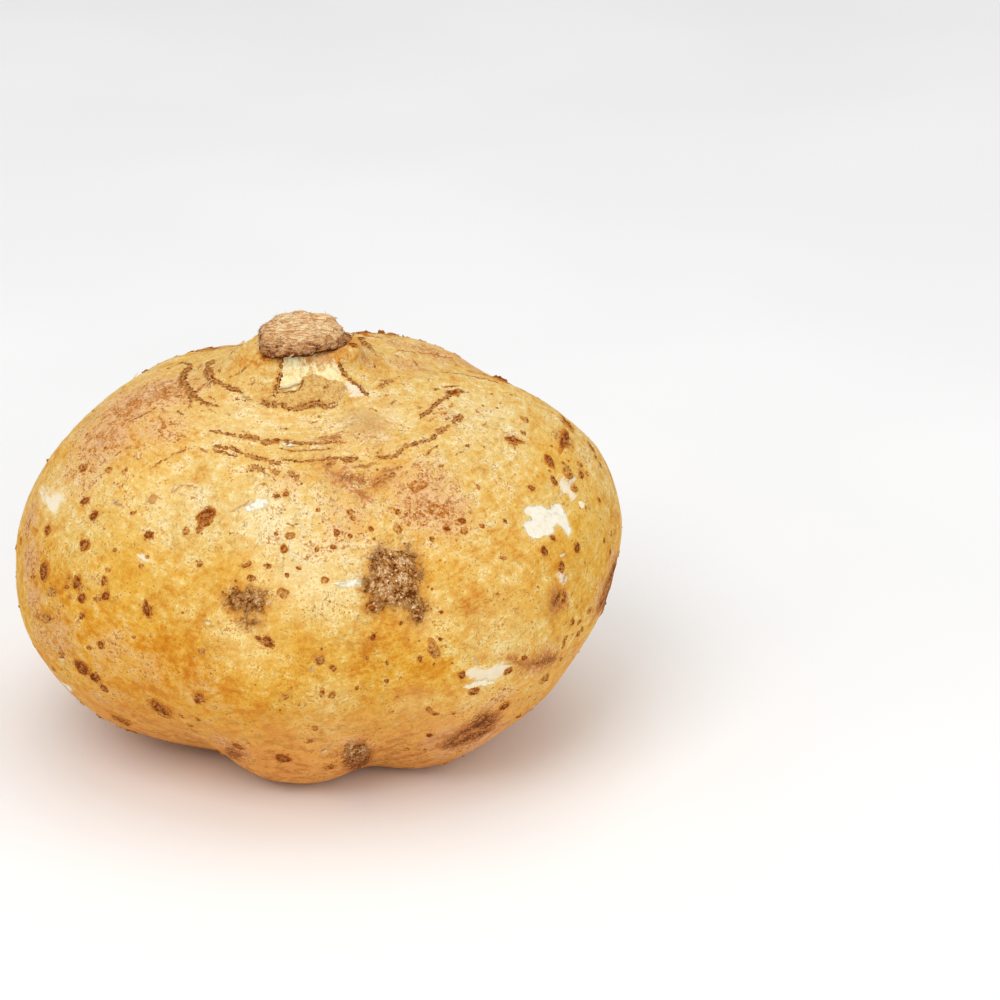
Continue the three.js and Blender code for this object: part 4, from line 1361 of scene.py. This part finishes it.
def flake_finish():
    """Thin dry skin, white to tan on top, with painted shade underneath: its underside is painted brown."""
    finish = Finish("skin_flake")
    grain = finish.grain(0.45, detail=4, roughness=0.7)
    patchy = finish.grain(1.1, detail=4, roughness=0.65, shift=0.05)
    tone = finish.mark("tone") + (grain - 0.5) * 0.8 + (patchy - 0.5) * 0.8
    finish.color = finish.mix(tone.between(0.0, 0.4), (252, 236, 198), (236, 200, 146))
    finish.coat(tone.between(0.4, 0.9), (206, 148, 86))
    # Painted shade: the underside is painted brown for the shadow beneath a lifted flake.
    finish.coat(finish.mark("under").between(0.3, 0.9) * 0.8, (150, 88, 44))
    return finish.done(0.7, finish.bump(grain, 0.08), gloss=0.03)


flake_material = flake_finish()
marks = [seen_mark(FLAKE_HEIGHT, *flake) for flake in FLAKES]
marks += [hidden_mark(FLAKE_HEIGHT, chance.uniform(0.0, 0.9), 1.6, low_z=6) for _ in range(HIDDEN_FLAKES)]
flakes = laid_out("skin_flakes", marks, [flake_shape(seed) for seed in range(6)], flake_material)
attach(flakes, "root")


# ---- The torn skin's curled edges ----
# Where a strip of skin was pulled off, its edge rolled up as it dried. Each edge lies along the tear,
# joined to the skin on one side and free on the other, dark underneath.
CURL_SECTION = ((-0.15, -0.75), (0.10, -0.45), (0.34, 0.0), (0.62, 0.45), (0.95, 0.70), (1.05, 0.62),
                (0.92, 0.85), (0.55, 0.66), (0.22, 0.22), (-0.15, -0.1))  # height and across, in half-widths
CURL_ROUGH = 0.12  # mm
CURLS = [
    (1.20, 0.12, (280, 389), (286, 387), (292, 385), (299, 382)),
    (0.28, 0.15, (347, 386), (344, 393), (337, 402), (327, 408)),
    (0.40, 0.60, (229, 511), (240, 506), (251, 500)),
    (0.62, 0.40, (179, 486), (188, 484), (197, 485)),
    (0.45, 0.50, (170, 492), (178, 487)),
    (0.40, 0.00, (464, 688), (478, 684), (495, 683)),
    (0.40, 0.10, (206, 385), (210, 382), (215, 380)),
    (0.30, 0.05, (331, 584), (342, 582), (352, 580)),
    (0.35, 0.70, (124, 508), (114, 504), (118, 500)),
    (0.35, 0.20, (281, 447), (290, 447), (299, 444)),
]  # half-width in mm, tone, and corners in pixels
HIDDEN_CURLS = 10


def hidden_curl():
    """A short torn edge somewhere on the skin that the camera doesn't see."""
    place, out = skin_tree.find_nearest(Vector(hidden_place(12)))[:2]
    along = Vector(chance.normal(0, 1, 3))
    along = (along - out * along.dot(out)).normalized() * chance.uniform(0.8, 2.2) * MM
    path = [skin_tree.find_nearest(place + along * turn)[0] for turn in (-1, 0, 1)]
    return path, chance.uniform(0.3, 0.6), chance.uniform(0.0, 0.7)


curl_paths = seen_paths(CURLS) + [hidden_curl() for _ in range(HIDDEN_CURLS)]
curls = swept_over_skin("skin_curls", curl_paths, CURL_SECTION, CURL_ROUGH, flake_material)
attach(curls, "root")


# ---- The taproot's end ----
# The root's tail broke off in the hollow underneath. The break dried to a rough brown disc of fibres.
TAPROOT_RADIUS, TAPROOT_LOW, TAPROOT_HIGH = 3.4, 1.9, 4.4  # mm
TAPROOT_ROWS, TAPROOT_COLUMNS = 14, 40
TAPROOT_FACE = 0.8  # the rows beyond this share climb into the skin


def taproot_mesh():
    """A closed cap that hangs down from the skin, its edge sunk into it."""
    places = [(0, 0, (TAPROOT_LOW + 0.3) * MM)]
    shares = [row / TAPROOT_ROWS for row in range(1, TAPROOT_ROWS + 1)]
    for share in shares:
        climb = max(0, (share - TAPROOT_FACE) / (1 - TAPROOT_FACE))
        for column in range(TAPROOT_COLUMNS):
            way = compass(2 * math.pi * column / TAPROOT_COLUMNS)
            lobed = 1 + 0.07 * noise.noise(way * 2 + Vector((5, 5, 5)))
            out = TAPROOT_RADIUS * min(share / TAPROOT_FACE, 1) * lobed
            low = TAPROOT_LOW + 0.5 * noise.noise(way * out / 1.2) + 0.2 * noise.noise(way * out / 0.4)
            up = Vector((0, 0, low + (TAPROOT_HIGH - low) * climb))
            places.append((way * out * (1 + 0.12 * climb) + up) * MM)
    faces = [face[::-1] for face in disc_faces(TAPROOT_ROWS, TAPROOT_COLUMNS)]
    mesh = smooth_mesh("taproot_end", places, faces)
    give(mesh, rim=[0.0] + [share for share in shares for _ in range(TAPROOT_COLUMNS)])
    return mesh


taproot = piece("taproot_end", taproot_mesh())
taproot.data.materials.append(stem_material)
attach(taproot, "root")


# ---- The table and the light ----
# A plain pale table in a bright room with soft light from all round. Three large soft lamps face the
# root, from the front left, from above and, weakest, from the front right.
HALF_TABLE = 3.0
ROOM_LIGHT = 0.51
LIT_POINT = Vector((0, 0, 0.045))  # what the lights face

corners = [(x * HALF_TABLE, y * HALF_TABLE, 0) for x, y in ((-1, -1), (1, -1), (1, 1), (-1, 1))]
table_mesh = bpy.data.meshes.new("table")
table_mesh.from_pydata(corners, [], [(0, 1, 2, 3)])
table = piece("table", table_mesh)
table_finish = Finish("pale_table")
mist = table_finish.grain(180, detail=2).between(0.4, 0.6)
table_finish.color = table_finish.mix(mist, (249, 249, 249), (252, 252, 252))
table_mesh.materials.append(table_finish.done(0.9, gloss=0.5))
table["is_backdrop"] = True


def soft_light(name, place, size, power):
    """A square soft box that faces the root."""
    light = bpy.data.lights.new(name, "AREA")
    light.size = size
    light.energy = power
    thing = bpy.data.objects.new(name, light)
    thing.location = place
    thing.rotation_euler = (LIT_POINT - thing.location).to_track_quat("-Z", "Y").to_euler()
    bpy.context.scene.collection.objects.link(thing)


soft_light("key", (-0.4, -0.7, 1.1), 0.8, 6.5)
soft_light("top", (0.1, 0.1, 1.3), 1.0, 4.4)
soft_light("fill", (0.9, -0.8, 0.7), 0.9, 3)

world = bpy.data.worlds.new("room")
world.use_nodes = True
world.node_tree.nodes["Background"].inputs["Color"].default_value = (1, 1, 1, 1)
world.node_tree.nodes["Background"].inputs["Strength"].default_value = ROOM_LIGHT
bpy.context.scene.world = world
bpy.context.scene.view_settings.view_transform = "Standard"

low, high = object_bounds()
